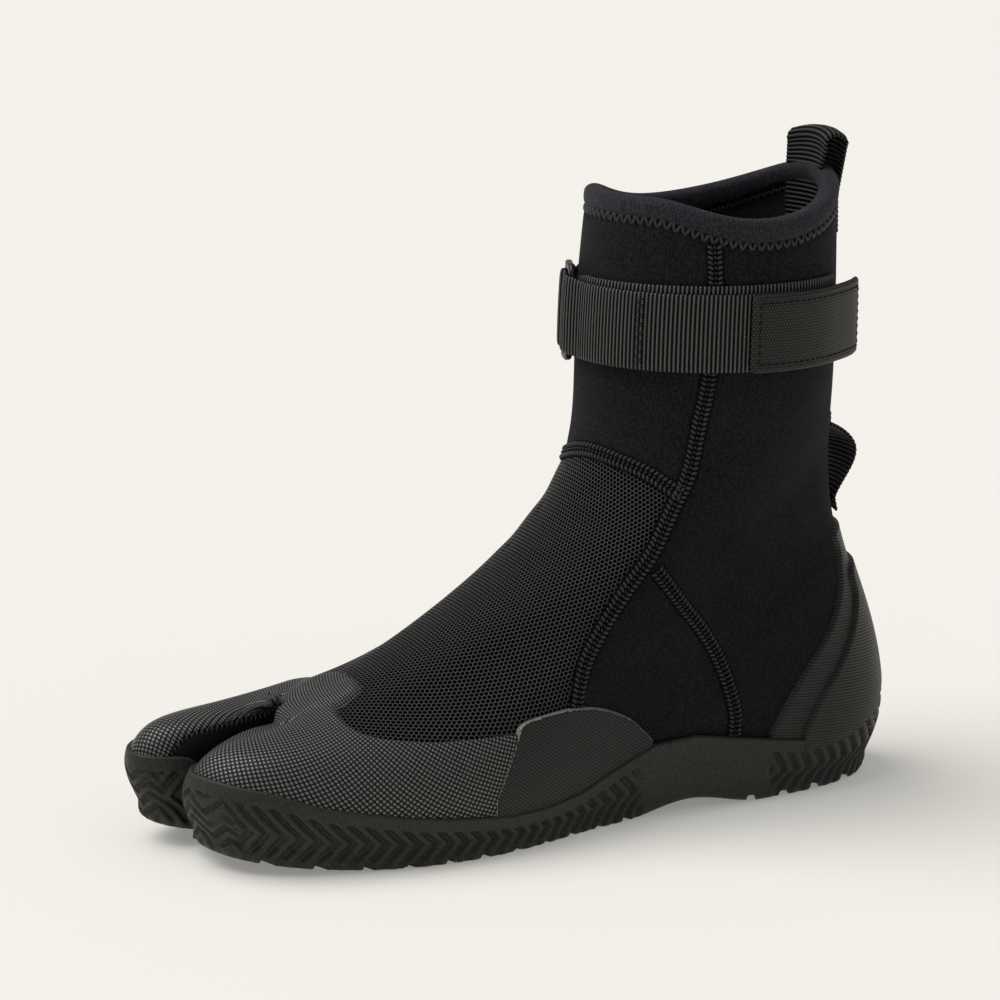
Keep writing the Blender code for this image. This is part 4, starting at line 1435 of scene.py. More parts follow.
    def lay_mesh(self, whole: Patch, u: Array, t: Array) -> None:
        """Draw the instep mesh on cloth that was flattened, so that its pores stay round.

        Args:
            whole: The upper's patch, whose instep faces get new places on the cloth.
            u: The grid's columns.
            t: The grid's rings.
        """
        columns = np.linspace(*self.vamp_columns, 65)
        ahead = self.vamp_front_half - np.abs(columns - FRONT_COLUMN)
        low = self.vamp_low + self.vamp_front_rise * smooth(ahead / self.vamp_front_fade)
        pattern = cut_pattern(self.form, columns, low, self.vamp_ring)
        faces = np.flatnonzero(whole.finish == Panel.MESH)
        corner = whole.faces[faces]
        whole.cloth[faces] = pattern.places(u[corner % len(u)], t.ravel()[corner])

    def panels(self, skin: Array, u: Array, faces: Array) -> Array:
        """The finish of each face: jersey, instep mesh or the smooth skin of the slot.

        Args:
            skin: Grid of the outside.
            u: The grid's columns.
            faces: The grid's faces.

        Returns:
            One finish number per face.
        """
        flat = skin.reshape(-1, 3)
        middle = flat[faces].mean(axis=1)
        column = u[faces[:, 0] % len(u)]
        seam = np.array(MAIN_SEAM)[::-1]
        ahead = middle[:, 1] < np.interp(middle[:, 2], seam[:, 1], seam[:, 0])
        below = middle[:, 2] < np.interp(column, *np.transpose(VAMP_TOP), left=0.0, right=0.0)
        wide = (column > VAMP_TOP[0].column) & (column < VAMP_TOP[-1].column)
        low = middle[:, 2] < VAMP_TOP[0].z
        finish = np.where(ahead & (low | (wide & below)), Panel.MESH, Panel.JERSEY)
        slot = (np.abs(column - SLOT_COLUMN) < self.slot_half) & (middle[:, 2] < self.slot_top)
        return np.where(slot, Panel.SLOT, finish)

    def sew(self, seams: list[SewnLine]) -> None:
        """Lay the seam bands, their three rows of threads and the collar's zigzag.

        Args:
            seams: The flatlock seams.
        """
        bands, threads = [], []
        profile = np.array(SEAM_PROFILE)
        for seam in seams:
            rows = [
                seam.point + seam.across * (side * self.band_half) + seam.normal * (lift * self.band_rise)
                for side, lift in profile
            ]
            grid = np.stack(rows)
            length = length_along(seam.point)[None]
            cloth = np.stack(np.broadcast_arrays(length, profile[:, :1] * self.band_half), -1)
            bands.append(grid_patch(grid, cloth))
            even = seam.spaced(self.stitch_pitch)
            run, across = even.run, even.across
            for row, slant, wide, thread in STITCH_ROWS:
                base = even.point + across * (row * self.band_half) + even.normal * self.band_rise
                reach = across * (wide * self.band_half) + run * (slant * self.stitch_pitch)
                threads += add_stitches(base - reach, base + reach, even.normal, thread, self.stitch_rise)
        hem = self.hem_line().spaced(self.cover_pitch / 2)
        turn = np.where(np.arange(len(hem.point)) % 2 == 0, 1.0, -1.0)[:, None]
        for way, depth, place, half, rise in ZIGZAGS:
            corner = hem.point + hem.across * (place + turn * half) - hem.normal * depth
            threads += add_stitches(corner[:-1], corner[1:], way * hem.normal[:-1], self.thread, rise)
        # The bands take the darker edge finish, painted shade between the threads.
        add_piece("flatlock_bands", bands, [SEAM_EDGE.material()])
        add_piece("flatlock_threads", threads, [THREAD.material()])


class Crease(NamedTuple):
    """A soft trough in the cloth on both sides of the boot, given on the side view."""

    line: tuple[Place, ...]
    depth: float
    width: float


CREASE_STEPS = 6
CREASES = (
    Crease(table(Place, (12, 108), (26, 112), (44, 108)), 0.5, 5.0),
    Crease(table(Place, (2, 96), (16, 98), (30, 92)), 0.35, 4.5),
    Crease(table(Place, (62, 104), (82, 108), (104, 118)), 0.8, 7.0),
    Crease(table(Place, (66, 142), (88, 140), (112, 146)), 0.7, 7.0),
    Crease(table(Place, (84, 74), (98, 84), (110, 98)), 0.6, 6.0),
)


class Corner(NamedTuple):
    """A place on the upper by its column and ring."""

    column: float
    ring: float


# The cap's cut edge round the slot, from the small toes' side through the root to the big toe's side.
SLOT_EDGE = table(
    Corner, (9.05, 0.0), (9.2, 1.6), (9.45, 2.7), (9.8, 3.3), (10.3, 3.6), (10.9, 3.8), (11.4, 4.3),
    (12.0, 5.1), (12.5, 4.6), (13.0, 4.1), (13.75, 3.9), (14.2, 3.7), (14.5, 3.4), (14.75, 3.1),
    (14.9, 2.4), (15.0, 0.0),
)
# The rubber that bridges the hollow behind the slot's root: its middle and reach in plan, and its height
BRIDGE_AT = np.array((-9.0, -77.0))
BRIDGE_REACH = np.array((6.5, 7.0))
BRIDGE_RISE = 1.6
# Steps between two points of an overlay's outline, and where the outline closes out of sight
OUTLINE_STEPS = 8
BELOW_SOLE = -40.0
AHEAD_OF_TOES = -200.0


def cap_slot_line() -> Array:
    """The cap's cut edge round the slot as a smooth line of columns and rings."""
    return through(SLOT_EDGE, OUTLINE_STEPS)


def slot_gap(form: LastForm, u: Array, t: Array, point: Array) -> Array:
    """Distance from the cap's edge round the slot, negative inside the slot.

    Args:
        form: The upper's shape.
        u: Columns.
        t: Rings.
        point: Rows of places at these columns and rings.

    Returns:
        One distance in millimetres per place.
    """
    edge = cap_slot_line()
    away = distance_to(point, form.at(*edge.T)[0])
    return np.where(inside(np.column_stack([u, t]), edge), -away, away)


def slot_fill(points: Array) -> Array:
    """Extra rubber that bridges the hollow behind the slot's root."""
    return BRIDGE_RISE * np.exp(-(((points[:, :2] - BRIDGE_AT) / BRIDGE_REACH) ** 2).sum(axis=1))


@dataclass
class Overlay:
    """A rubber overlay: a patch of the upper's own form that stands proud inside an outline."""

    form: LastForm
    name: str
    edge: tuple[Place, ...]
    span: tuple[float, float]
    ring_top: float
    finish: Finish
    node: str
    lift: float = SEAT_GAP + OVERLAY
    columns: int = 220
    rows: int = 100
    slotted: bool = False
    edge_round: float = 1.1
    tuck: float = 0.8
    even_ring: float = 2.5
    under_lip: float = 0.3
    lowest_ring: float = 0.05
    pattern_columns: int = 97
    pattern_blur: float = 0.6
    pattern_margin: float = 0.25
    stitch_pitch: float = 1.9
    stitch_half: float = 1.0
    stitch_slant: float = 0.4
    stitch_level: float = 0.7
    stitch_rise: float = 0.4
    thread: float = 0.32
    # Finish of the band along the cut edge, a painted highlight, with the band's width and overlap
    cut: Finish | None = None
    cut_width: float = 0.65
    cut_overlap: float = 0.2

    def outline(self) -> Array:
        """Close the side outline far below the sole's lip.

        Returns:
            Rows of y and z.
        """
        line = through(self.edge, OUTLINE_STEPS)
        ends = [(line[-1, 0], BELOW_SOLE), (line[0, 0], BELOW_SOLE)]
        if self.slotted:
            ends = [ends[0], (AHEAD_OF_TOES, BELOW_SOLE), (AHEAD_OF_TOES, line[0, 1])]
        return np.vstack([line, *ends])

    def foot_rings(self, u: Array) -> Array:
        """The ring of each column at which the overlay starts, under the sole's lip."""
        return np.maximum(self.form.lip_rings(u) - self.under_lip, self.lowest_ring)

    def build(self) -> None:
        """Make the patch, rounded down to the upper at its edge."""
        form = self.form
        u = form.even_columns(*self.span, self.columns, self.even_ring)
        lip = self.foot_rings(u)
        share = np.linspace(0, 1, self.rows)[:, None]
        t = lip + share * (self.ring_top - lip)
        point, normal = form.at(u[None, :], t)
        flat = point.reshape(-1, 3)
        line = self.outline()
        within = inside(flat[:, 1:], line)
        depth = distance_to(flat[:, 1:], np.vstack([line, line[:1]])) * np.where(within, 1, -1)
        if self.slotted:
            depth = np.minimum(depth, slot_gap(form, np.broadcast_to(u, t.shape).ravel(), t.ravel(), flat))
        share_in = np.clip(depth / self.edge_round, 0, 1)
        rise = self.lift * (1 - (1 - share_in) ** 2)
        rise = np.where(depth < 0, 2 * self.lift / self.edge_round * depth, rise)
        rise = np.maximum(rise, -self.tuck)
        if self.slotted:
            rise += slot_fill(flat) * share_in
        face = (flat + normal.reshape(-1, 3) * rise[:, None]).reshape(point.shape)
        columns = np.linspace(*self.span, self.pattern_columns)
        low = self.foot_rings(columns)
        if self.slotted:
            edge = cap_slot_line()
            beside = [
                np.interp(columns + side * self.pattern_blur, *edge.T, left=0.0, right=0.0)
                for side in (-1, 0, 1)
            ]
            low = np.maximum(low, np.mean(beside, axis=0) - self.pattern_margin)
        cloth = cut_pattern(form, columns, low, self.ring_top).places(np.broadcast_to(u, t.shape), t)
        patch = grid_patch(face, cloth)
        kept = (rise[patch.faces] > -self.tuck).any(axis=1)
        patch.faces, patch.cloth = patch.faces[kept], patch.cloth[kept]
        used, numbered = np.unique(patch.faces, return_inverse=True)
        patch.points, patch.faces = patch.points[used], numbered.reshape(patch.faces.shape)
        finishes = [self.finish.material()]
        if self.cut:
            # Faces along the cut edge take the pale edge finish: a painted highlight.
            rim = depth[used][patch.faces].mean(axis=1)
            patch.finish = np.where((rim > -self.cut_overlap) & (rim < self.cut_width), 1, 0)
            finishes.append(self.cut.material())
        add_piece(self.name, [patch], finishes, (self.node,))
        if self.slotted:
            self.overcast()

    def overcast(self) -> None:
        """Sew over the cap's cut edge round the slot."""
        edge = cap_slot_line()
        edge = edge[edge[:, 1] > self.form.lip_rings(edge[:, 0])]
        line = SewnLine(*self.form.at(*edge.T)).spaced(self.stitch_pitch)
        base = line.point + line.normal * (self.stitch_level * self.lift)
        reach = line.across * self.stitch_half + line.run * self.stitch_slant
        threads = add_stitches(base - reach, base + reach, line.normal, self.thread, self.stitch_rise)
        add_piece("slot_edge_threads", threads, [EDGE_THREAD.material()])


class BevelRow(NamedTuple):
    """A row of the sole's lower edge: share of its height, and of the wall's ribs and the tread's grooves."""

    share: float
    ribbed: float
    grooved: float


BEVEL_ROWS = table(BevelRow, (0.0, 0.2, 1.0), (0.35, 0.5, 0.75), (0.7, 0.85, 0.35))


@dataclass
class Outsole:
    """The moulded cup sole: a smooth lip, ribbed walls and a lugged tread."""

    form: LastForm
    columns: int = 960
    wall_rows: int = 36
    foot_rows: int = 12
    rib_pitch: float = 5.8
    rib_depth: float = 1.6
    front_depth: float = 1.1
    rib_sweep: float = 0.9
    rib_point: float = 0.4
    rib_start: float = -0.1
    rib_fade: float = 0.45
    front_start: float = 0.1
    front_fade: float = 0.4
    front_column: float = 4.0
    front_columns: float = 1.0
    front_end: float = 0.15
    front_pitch: float = 4.8
    front_fold: float = 15.0
    front_rise: float = 6.0
    band: float = 4.2
    band_fade: float = 1.2
    edge_height: float = 2.6
    bottom_inset: float = 2.2
    groove_width: float = 4.2
    groove_depth: float = 2.4
    groove_slope: float = 0.7
    groove_reach: float = 62.0
    lug_pitch: float = 14.0
    sweep: float = 0.42
    fore_first: float = -128.0
    fore_last: float = 20.0
    heel_first: float = 92.0
    heel_last: float = 136.0
    arch_front: float = 33.0
    arch_back: float = 85.0
    arch_slant: float = 6.0
    arch_fade: float = 4.0
    lip_roll: float = 0.55
    wall_tilt: float = 0.3

    def grooves(self) -> list[tuple[float, int]]:
        """Place along the foot of each chevron groove's point, and the way that its arms sweep."""
        runs = ((self.fore_first, self.fore_last, 1), (self.heel_first, self.heel_last, -1))
        return [(y, way) for first, last, way in runs for y in np.arange(first, last + 1, self.lug_pitch)]

    def groove(self, plan: Array) -> Array:
        """Depth of the tread's grooves.

        Args:
            plan: Rows of plan places.

        Returns:
            One depth in millimetres per place.
        """
        depth = np.zeros(len(plan))
        for first, sweep in self.grooves():
            into = plan[:, 1] - first - sweep * self.sweep * np.abs(plan[:, 0])
            edge = np.minimum(into, self.groove_width - into) / self.groove_slope
            depth = np.maximum(depth, self.groove_depth * np.clip(edge, 0, 1))
        return depth

    def ribs(self, run: Array, level: Array, tall: Array, y: Array, u: Array) -> Array:
        """Depth of the walls' chevron grooves.

        Args:
            run: Length from the heel along the wall.
            level: Share of the wall's height, 0 at the tread and 1 at the lip.
            tall: The wall's height.
            y: Place along the foot.
            u: Column.

        Returns:
            One depth in millimetres per place.
        """
        arm = self.rib_sweep * np.abs(level - self.rib_point) * tall
        side_turn = np.cos(2 * np.pi * (run - arm) / self.rib_pitch)
        fold = self.front_rise * np.abs(2 * ((run / self.front_fold) % 1) - 1)
        front_turn = np.cos(2 * np.pi * (level * tall + fold) / self.front_pitch)
        off_toe = np.abs(np.abs(u % COLUMNS - SLOT_COLUMN) - self.front_column)
        front = smooth((self.front_columns - off_toe) / self.front_end)
        depth = front * self.front_depth * smooth((front_turn - self.front_start) / self.front_fade)
        side_depth = self.rib_depth * smooth((side_turn - self.rib_start) / self.rib_fade)
        depth = depth + (1 - front) * side_depth
        below_band = smooth(((1 - level) * tall - self.band) / self.band_fade)
        slant = y + self.arch_slant * (level - 0.5)
        before, behind = self.arch_front - slant, slant - self.arch_back
        treaded = np.maximum(smooth(before / self.arch_fade), smooth(behind / self.arch_fade))
        return depth * below_band * treaded * (1 - smooth(slot_share(u) * 3))

    def build(self) -> None:
        """Make the walls, the tread and the floor inside as one closed mesh."""
        form = self.form
        u = form.even_columns(0, COLUMNS, self.columns + 1, 0.7)[:-1]
        lip = form.lip_rings(u)
        thick = SEAT_GAP + LIP + (SLOT_LIP - LIP) * slot_share(u)
        share = np.linspace(0, 1, self.wall_rows)[:, None]
        wall = form.offset(u[None, :], share * lip, np.repeat(thick[None], self.wall_rows, axis=0))
        base = wall[0]
        low = sole_bottom(base[:, 1]) + self.edge_height
        feet = np.repeat(base[None], self.foot_rows, axis=0)
        feet[..., 2] = low + np.linspace(0, 1, self.foot_rows, endpoint=False)[:, None] * (base[:, 2] - low)
        side = np.concatenate([feet, wall])
        normal = np.concatenate([np.repeat(form.at(u, 0 * u)[1][None], self.foot_rows, axis=0),
                                 form.at(u[None, :], share * lip)[1]])
        step = np.linalg.norm(np.diff(base, axis=0, append=base[:1]), axis=1)
        run = np.concatenate([[0], np.cumsum(step)[:-1]])
        front = int(np.argmin(np.abs(u - SLOT_COLUMN)))
        run = np.where(np.arange(len(u)) <= front, run, step.sum() - run)
        tall = side[-1, :, 2] - side[0, :, 2]
        level = (side[..., 2] - side[0, :, 2]) / tall
        depth = self.ribs(run[None], level, tall[None], side[..., 1], u[None])
        flat_normal = normal * np.array((1.0, 1.0, self.wall_tilt))
        side = side - unit(flat_normal) * depth[..., None]

        inner = form.offset(u[None, :], np.linspace(1, 0, 5)[:, None] * lip, SEAT_GAP)
        inner[-1, :, 2] = SOLE_FLOOR + toe_spring(inner[-1, :, 1])
        roll = [
            side[-1] * (1 - s) + inner[0] * s + np.array((0, 0, self.lip_roll * np.sin(np.pi * s)))
            for s in (0.2, 0.5, 0.8)
        ]
        inset = self.bottom_inset * (1 - 0.6 * slot_share(u))
        bevel = []
        for share, ribbed, grooved in BEVEL_ROWS:
            ring = form.offset(u, 0 * u, thick - inset * (1 - share) ** 1.5)
            ring[:, 2] = sole_bottom(ring[:, 1]) + self.edge_height * share**1.5
            ring -= unit(flat_normal[0]) * (ribbed * depth[0])[:, None] * np.array((1, 1, 0))
            ring[:, 2] += grooved * self.groove(ring[:, :2])
            bevel.append(ring)
        grid = np.concatenate([bevel, side, roll, inner])
        patches = [grid_patch(grid, wrap=True), self.tread(bevel[0]), self.floor(inner[-1])]
        add_piece("outsole_rubber", patches, [SOLE_RUBBER.material()], ("outsole",), join=JOIN)

    def tread(self, rim: Array) -> Patch:
        """Fill the walls' lowest edge with the lugged underside.

        Args:
            rim: The edge's points.

        Returns:
            The tread.
        """
        lines, edges = [], []
        across = np.linspace(-self.groove_reach, self.groove_reach, 21)
        for first, sweep in self.grooves():
            for into in (0, self.groove_slope, self.groove_width - self.groove_slope, self.groove_width):
                y = first + into + sweep * self.sweep * np.abs(across)
                start = len(rim) + len(lines)
                lines += list(zip(across, y))
                edges += [(start + i, start + i + 1) for i in range(len(across) - 1)]
        plan, triangles = fill_outline(rim, lines, edges)
        height = sole_bottom(plan[:, 1]) + self.groove(plan)
        return Patch(np.column_stack([plan, height]), triangles[:, ::-1])

    def floor(self, rim: Array) -> Patch:
        """Fill the cup's inner edge with the floor under the insole."""
        plan, triangles = fill_outline(rim)
        return Patch(np.column_stack([plan, SOLE_FLOOR + toe_spring(plan[:, 1])]), triangles)


@dataclass
class Insole:
    """The cloth-faced foam board inside the boot."""

    form: LastForm
    thick: float = 3.0
    play: float = 0.9
    columns: int = 360
    edge_round: float = 0.8
    edge_middle: float = 0.25
    fill_x: tuple[float, float, float] = (-36, 37, 6.0)
    fill_y: tuple[float, float, float] = (-120, 140, 5.0)
    fill_clear: float = 2.5

    def level(self, y: Array) -> Array:
        """Height of the board's underside along the foot."""
        return SOLE_FLOOR + SEAT_GAP + toe_spring(y)

    def build(self) -> None:
        """Make the board with a rounded top edge."""
        u = np.linspace(0, COLUMNS, self.columns, endpoint=False)
        profile = (
            (0.0, 0.0), (0.0, self.thick - self.edge_round),
            (self.edge_middle, self.thick - self.edge_middle), (self.edge_round, self.thick),
        )
        rims = []
        for inset, rise in profile:
            ring = self.form.offset(u, 0 * u, -(WALL + self.play + inset))
            ring[:, 2] = self.level(ring[:, 1]) + rise
            rims.append(ring)
        patches = [grid_patch(np.array(rims), wrap=True)]
        inner = np.array([(x, y) for y in np.arange(*self.fill_y) for x in np.arange(*self.fill_x)])
        for rim, rise in ((rims[0], 0.0), (rims[-1], self.thick)):
            far = distance_to(inner, np.vstack([rim[:, :2], rim[:1, :2]])) > self.fill_clear
            plan, triangles = fill_outline(rim, [tuple(place) for place in inner[far]])
            points = np.column_stack([plan, self.level(plan[:, 1]) + rise])
            patches.append(Patch(points, triangles, plan[triangles]))
        add_piece("insole_board", patches, [INSOLE_CLOTH.material()], ("insole",), join=JOIN)


# Fine steps of a webbing's ribs, the columns over which the shaft is taken as straight, a webbing's
# thinnest half thickness, and shares of its width at which it is drawn
RIB_STEPS = 6
NEAR = 0.2
THIN_EDGE = 0.05
WIDTH_SHARES = np.array((0.0, 0.012, 0.035, 0.07, 0.13, 0.3, 0.5, 0.7, 0.87, 0.93, 0.965, 0.988, 1.0))
# Corners of a box in turn: for the ring from an upper one, for seams from a lower one and back to it
RING_CORNERS = ((1, 1), (-1, 1), (-1, -1), (1, -1))
BOX_CORNERS = ((-1, -1), (1, -1), (1, 1), (-1, 1), (-1, -1))


def sewn_run(start: Array, end: Array, pitch: float) -> Array:
    """Places from one end to the other at about this pitch."""
    count = int(np.linalg.norm(end - start) / pitch) + 1
    return start + np.linspace(0, 1, count)[:, None] * (end - start)


@dataclass
class AnkleStrap:
    """The webbing strap with its moulded ring, sewn anchor and rubber tab."""

    form: LastForm
    low: float = 165.6
    high: float = 193.2
    webbing: float = 1.3
    start: float = 8 / 3
    front_bar: float = 40 / 3
    rear_bar: float = 46 / 3
    ring_bar: float = 2.8
    ring_lift: float = 2.1
    ring_low: float = 162.9
    ring_high: float = 198.1
    ring_corner: float = 2.6
    ring_square: float = 0.8
    anchor_end: float = 62 / 3
    tab_front: float = 15 / 3
    tab_rear: float = 5 / 3
    tab_low: float = 164.4
    tab_high: float = 192.2
    tab_lift: float = 2.6
    tab_thick: float = 1.7
    tab_corner: float = 2.4
    tab_round: float = 0.7
    tab_round_reach: float = 0.9
    tab_border: float = 3.0
    border_depth: float = 0.22
    border_reach: float = 0.55
    border_sunk: float = 0.1
    border_stitch: float = 2.6
    bar_column: float = 8.2
    bar_half: float = 12.5
    bar_pitch: float = 1.6
    bar_place: float = 1.2
    bar_zigzag: float = 0.8
    box_column: float = 18.4
    box_half: tuple[float, float] = (9.0, 11.0)
    box_stitch: float = 2.4
    stitch_gap: float = 0.12
    stitch_rise: float = 0.3
    thread: float = 0.34
    rib_pitch: float = WEBBING.pitch
    rib_depth: float = 0.32
    selvedge: float = 0.455
    selvedge_rib: float = 0.4
    slip: float = 2.2
    sink: float = 1.0
    ease: float = 0.25
    layer_gap: float = 0.35
    fold_clear: float = 0.4
    fold_ahead: float = 0.5
    fold_columns: float = 1.3

    def mm_per_column(self, u: float) -> float:
        """Length of one column along the shaft at the strap."""
        ends = self.form.beside(u + np.array((-0.5, 0.5)) * NEAR, (self.low + self.high) / 2, np.zeros(2))
        return float(np.linalg.norm(ends[1] - ends[0]) / NEAR)

    def band(self, inner_u: Array, bar_u: float, outer_u: Array) -> list[Patch]:
        """Webbing that runs along the shaft, turns round a bar of the ring and comes back over itself.

        Args:
            inner_u: Columns of the layer on the shaft.
            bar_u: Column of the bar.
            outer_u: Columns of the layer that comes back.

        Returns:
            The ribbed webbing as a closed sheet.
        """
        turn = 1 if inner_u[-1] > inner_u[0] else -1
        half = self.webbing / 2
        close = SEAT_GAP + self.ease + half
        far = self.ring_lift + self.ring_bar + self.fold_clear + half
        bend = np.radians(np.linspace(-90, 90, 17)[1:-1])
        reach = self.ring_bar / 2 + self.fold_ahead + np.cos(bend) * (far - close) / 2
        fold_u = bar_u + turn * reach / self.mm_per_column(bar_u)
        fold_out = (close + far) / 2 + np.sin(bend) * (far - close) / 2
        settled = close + self.webbing + self.layer_gap
        lift = smooth(1 - np.abs(outer_u - bar_u) / self.fold_columns)
        caught = smooth(1 - np.abs(inner_u - bar_u) / self.fold_columns)
        at_bar = self.slip / 2
        u = np.concatenate([inner_u, fold_u, outer_u])
        level = np.concatenate([
            self.slip + caught * (at_bar - self.slip), np.full(len(fold_u), at_bar),
            at_bar * lift - self.sink * np.linspace(0, 1, len(outer_u)),
        ])
        out = np.concatenate([np.full(len(inner_u), close), fold_out, settled + lift * (far - settled)])
        middle = self.form.beside(u, (self.low + self.high) / 2, out)
        length = length_along(middle)
        even = np.arange(0, length[-1], self.rib_pitch / RIB_STEPS)
        u, out, level = (np.interp(even, length, part) for part in (u, out, level))
        share, height = WIDTH_SHARES, self.high - self.low
        centre = np.stack([self.form.beside(u, self.low + s * height + level, out) for s in share])
        run = np.gradient(centre, axis=1)
        across = unit(np.stack([-run[..., 1], run[..., 0], np.zeros(run.shape[:2])], axis=-1))
        edge = ((1 - np.abs(2 * share - 1) ** 14) ** 0.5)[:, None]
        ribbed = np.where(np.abs(share - 0.5) > self.selvedge, self.selvedge_rib, 1.0)[:, None]
        rib = self.rib_depth * ridges(even, self.rib_pitch)
        depth = np.maximum(half * edge - ribbed * rib * edge, THIN_EDGE)[..., None]
        cloth = np.stack(np.broadcast_arrays(even[None], (share * height)[:, None]), -1)
        return sheet_patches(centre - across * depth, centre + across * depth, cloth)

    def columns(self, first: float, last: float) -> Array:
        """Columns at a fine, even step."""
        return np.linspace(first, last, int(abs(last - first) * 12) + 2)

    def build(self) -> None:
        """Make the strap, anchor, ring, tab and their stitches."""
        cloth = WEBBING.material()
        inner = self.columns(self.start, self.front_bar)
        outer = self.columns(self.front_bar, self.tab_front - 1)
        strap = self.band(inner, self.front_bar, outer)
        add_piece("ankle_strap_webbing", strap, [cloth], ("ankle_strap",), join=JOIN)
        tail = self.columns(self.anchor_end, self.rear_bar)
        anchor = self.band(tail, self.rear_bar, tail[::-1])
        add_piece("strap_anchor_webbing", anchor, [cloth], ("strap_anchor",), join=JOIN)
        self.build_ring()
        self.build_tab()
        self.build_stitches()

    def build_ring(self) -> None:
        """Make the moulded ring: a rounded rectangle bent to the shaft."""
        middle = (self.front_bar + self.rear_bar) / 2
        u_per_mm = 1 / self.mm_per_column(middle)
        half_run = (self.rear_bar - self.front_bar) / 2 / u_per_mm - self.ring_corner
        half_rise = (self.ring_high - self.ring_low - self.ring_bar) / 2 - self.ring_corner
        corners = np.array(RING_CORNERS) * (half_run, half_rise)
        path = []
        for turn, corner in enumerate(corners):
            for angle in np.radians(np.linspace(0, 90, 10)) + turn * np.pi / 2:
                way = np.array((np.cos(angle), np.sin(angle)))
                path.append(np.append(self.ring_corner * way + corner, way))
            here, there = path[-1][:2], self.ring_corner * way + corners[(turn + 1) % len(corners)]
            path += [np.append(here + s * (there - here), way) for s in (0.2, 0.4, 0.6, 0.8)]
        run, rise, out_run, out_rise = np.array(path).T
        rows = []
        for angle in np.linspace(0, 2 * np.pi, 18, endpoint=False):
            way = np.array((np.cos(angle), np.sin(angle)))
            grow, out = self.ring_bar / 2 * np.sign(way) * np.abs(way) ** self.ring_square
            u = middle + (run + grow * out_run) * u_per_mm
            z = (self.ring_high + self.ring_low) / 2 + rise + grow * out_rise
            rows.append(self.form.beside(u, z, np.full(len(u), self.ring_lift + self.ring_bar / 2 + out)))
        grid = np.array(rows + rows[:1])
        add_piece(
            "strap_ring_moulded", [grid_patch(grid, wrap=True)], [RING_PLASTIC.material()],
            ("strap_ring",), join=JOIN,
        )

    def tab_gap(self) -> float:
        """How far the tab's back stands off the shaft."""
        return SEAT_GAP + self.ease + 2 * (self.webbing + self.layer_gap)

    def tab_point(self, run: Array, rise: Array, out: Array | float) -> Array:
        """Points of the tab.

        Args:
            run: Length from its middle.
            rise: Height from its middle.
            out: Distance from the shaft.

        Returns:
            One point per place.
        """
        middle = (self.tab_front + self.tab_rear) / 2
        u = middle + run / self.mm_per_column(middle)
        shape = np.broadcast_shapes(np.shape(run), np.shape(rise), np.shape(out))
        u, rise, out = (np.broadcast_to(part, shape).ravel() for part in (u, rise, out))
        z = (self.tab_low + self.tab_high) / 2 + rise
        end = (middle - u) / (self.tab_front - self.tab_rear) * 2
        return self.form.beside(u, z, out + self.tab_lift * smooth((end - 0.2) / 0.8)).reshape(*shape, 3)

    def tab_half(self) -> tuple[float, float]:
        """Half the tab's length and height."""
        scale = self.mm_per_column((self.tab_front + self.tab_rear) / 2)
        return (self.tab_front - self.tab_rear) / 2 * scale, (self.tab_high - self.tab_low) / 2

    def build_tab(self) -> None:
        """Make the rubber tab: a plate with round corners and edges, sunk along its stitched border."""
        half_run, half_rise = self.tab_half()
        corner = self.tab_corner
        ends = half_run - corner * (1 - np.sin(np.radians(np.linspace(0, 90, 9))))
        inner = np.linspace(-half_run + corner, half_run - corner, 61)
        run = np.concatenate([-ends[::-1], inner[1:-1], ends])
        past = np.clip(np.abs(run) - (half_run - corner), 0, corner)
        tall = half_rise - corner + np.sqrt(np.maximum(corner**2 - past**2, 0.01))
        share = np.sin(np.radians(np.linspace(-90, 90, 41)))
        rise = share[:, None] * tall[None]
        from_edge = np.minimum(half_run - np.abs(run)[None], tall[None] - np.abs(rise))
        rounded = self.tab_round * (1 - smooth(from_edge / self.tab_round_reach))
        sunk = self.border_depth * np.exp(-(((from_edge - self.tab_border) / self.border_reach) ** 2))
        gap = self.tab_gap()
        run_grid = np.broadcast_to(run, rise.shape)
        outer = self.tab_point(run_grid, rise, gap + self.tab_thick - rounded - sunk)
        back = self.tab_point(run_grid, rise, np.full(rise.shape, gap))
        cloth = np.stack([run_grid, rise], axis=-1)
        add_piece(
            "strap_tab_rubber", sheet_patches(back, outer, cloth), [TAB_RUBBER.material()],
            ("strap_tab",), join=JOIN,
        )

    def build_stitches(self) -> None:
        """Sew the tab's border, the strap's bar and the anchor's box with its cross."""
        corners = np.array(BOX_CORNERS) * (np.array(self.tab_half()) - self.tab_border)
        depth = self.tab_gap() + self.tab_thick - self.border_sunk
        threads = []
        for start, end in zip(corners[:-1], corners[1:]):
            threads += self.lay(sewn_run(start, end, self.border_stitch), depth, self.tab_point)
        threads += self.lay_on_strap(self.bar_column, self.strap_bar())
        threads += self.lay_on_strap(self.box_column, self.anchor_box())
        add_piece("strap_threads", threads, [DARK_THREAD.material()])

    def strap_bar(self) -> list[Array]:
        """Lay out two zigzag rows of stitches across the strap.

        Returns:
            Runs of length and height.
        """
        z = np.arange(-self.bar_half, self.bar_half, self.bar_pitch)
        turn = np.where(np.arange(len(z)) % 2, self.bar_zigzag, -self.bar_zigzag)
        return [np.column_stack([place + turn, z]) for place in (-self.bar_place, self.bar_place)]

    def anchor_box(self) -> list[Array]:
        """Lay out a sewn box with a cross.

        Returns:
            Runs of length and height.
        """
        corners = np.array(BOX_CORNERS) * self.box_half
        lines = list(zip(corners[:-1], corners[1:])) + [(corners[0], corners[2]), (corners[1], corners[3])]
        return [sewn_run(start, end, self.box_stitch) for start, end in lines]

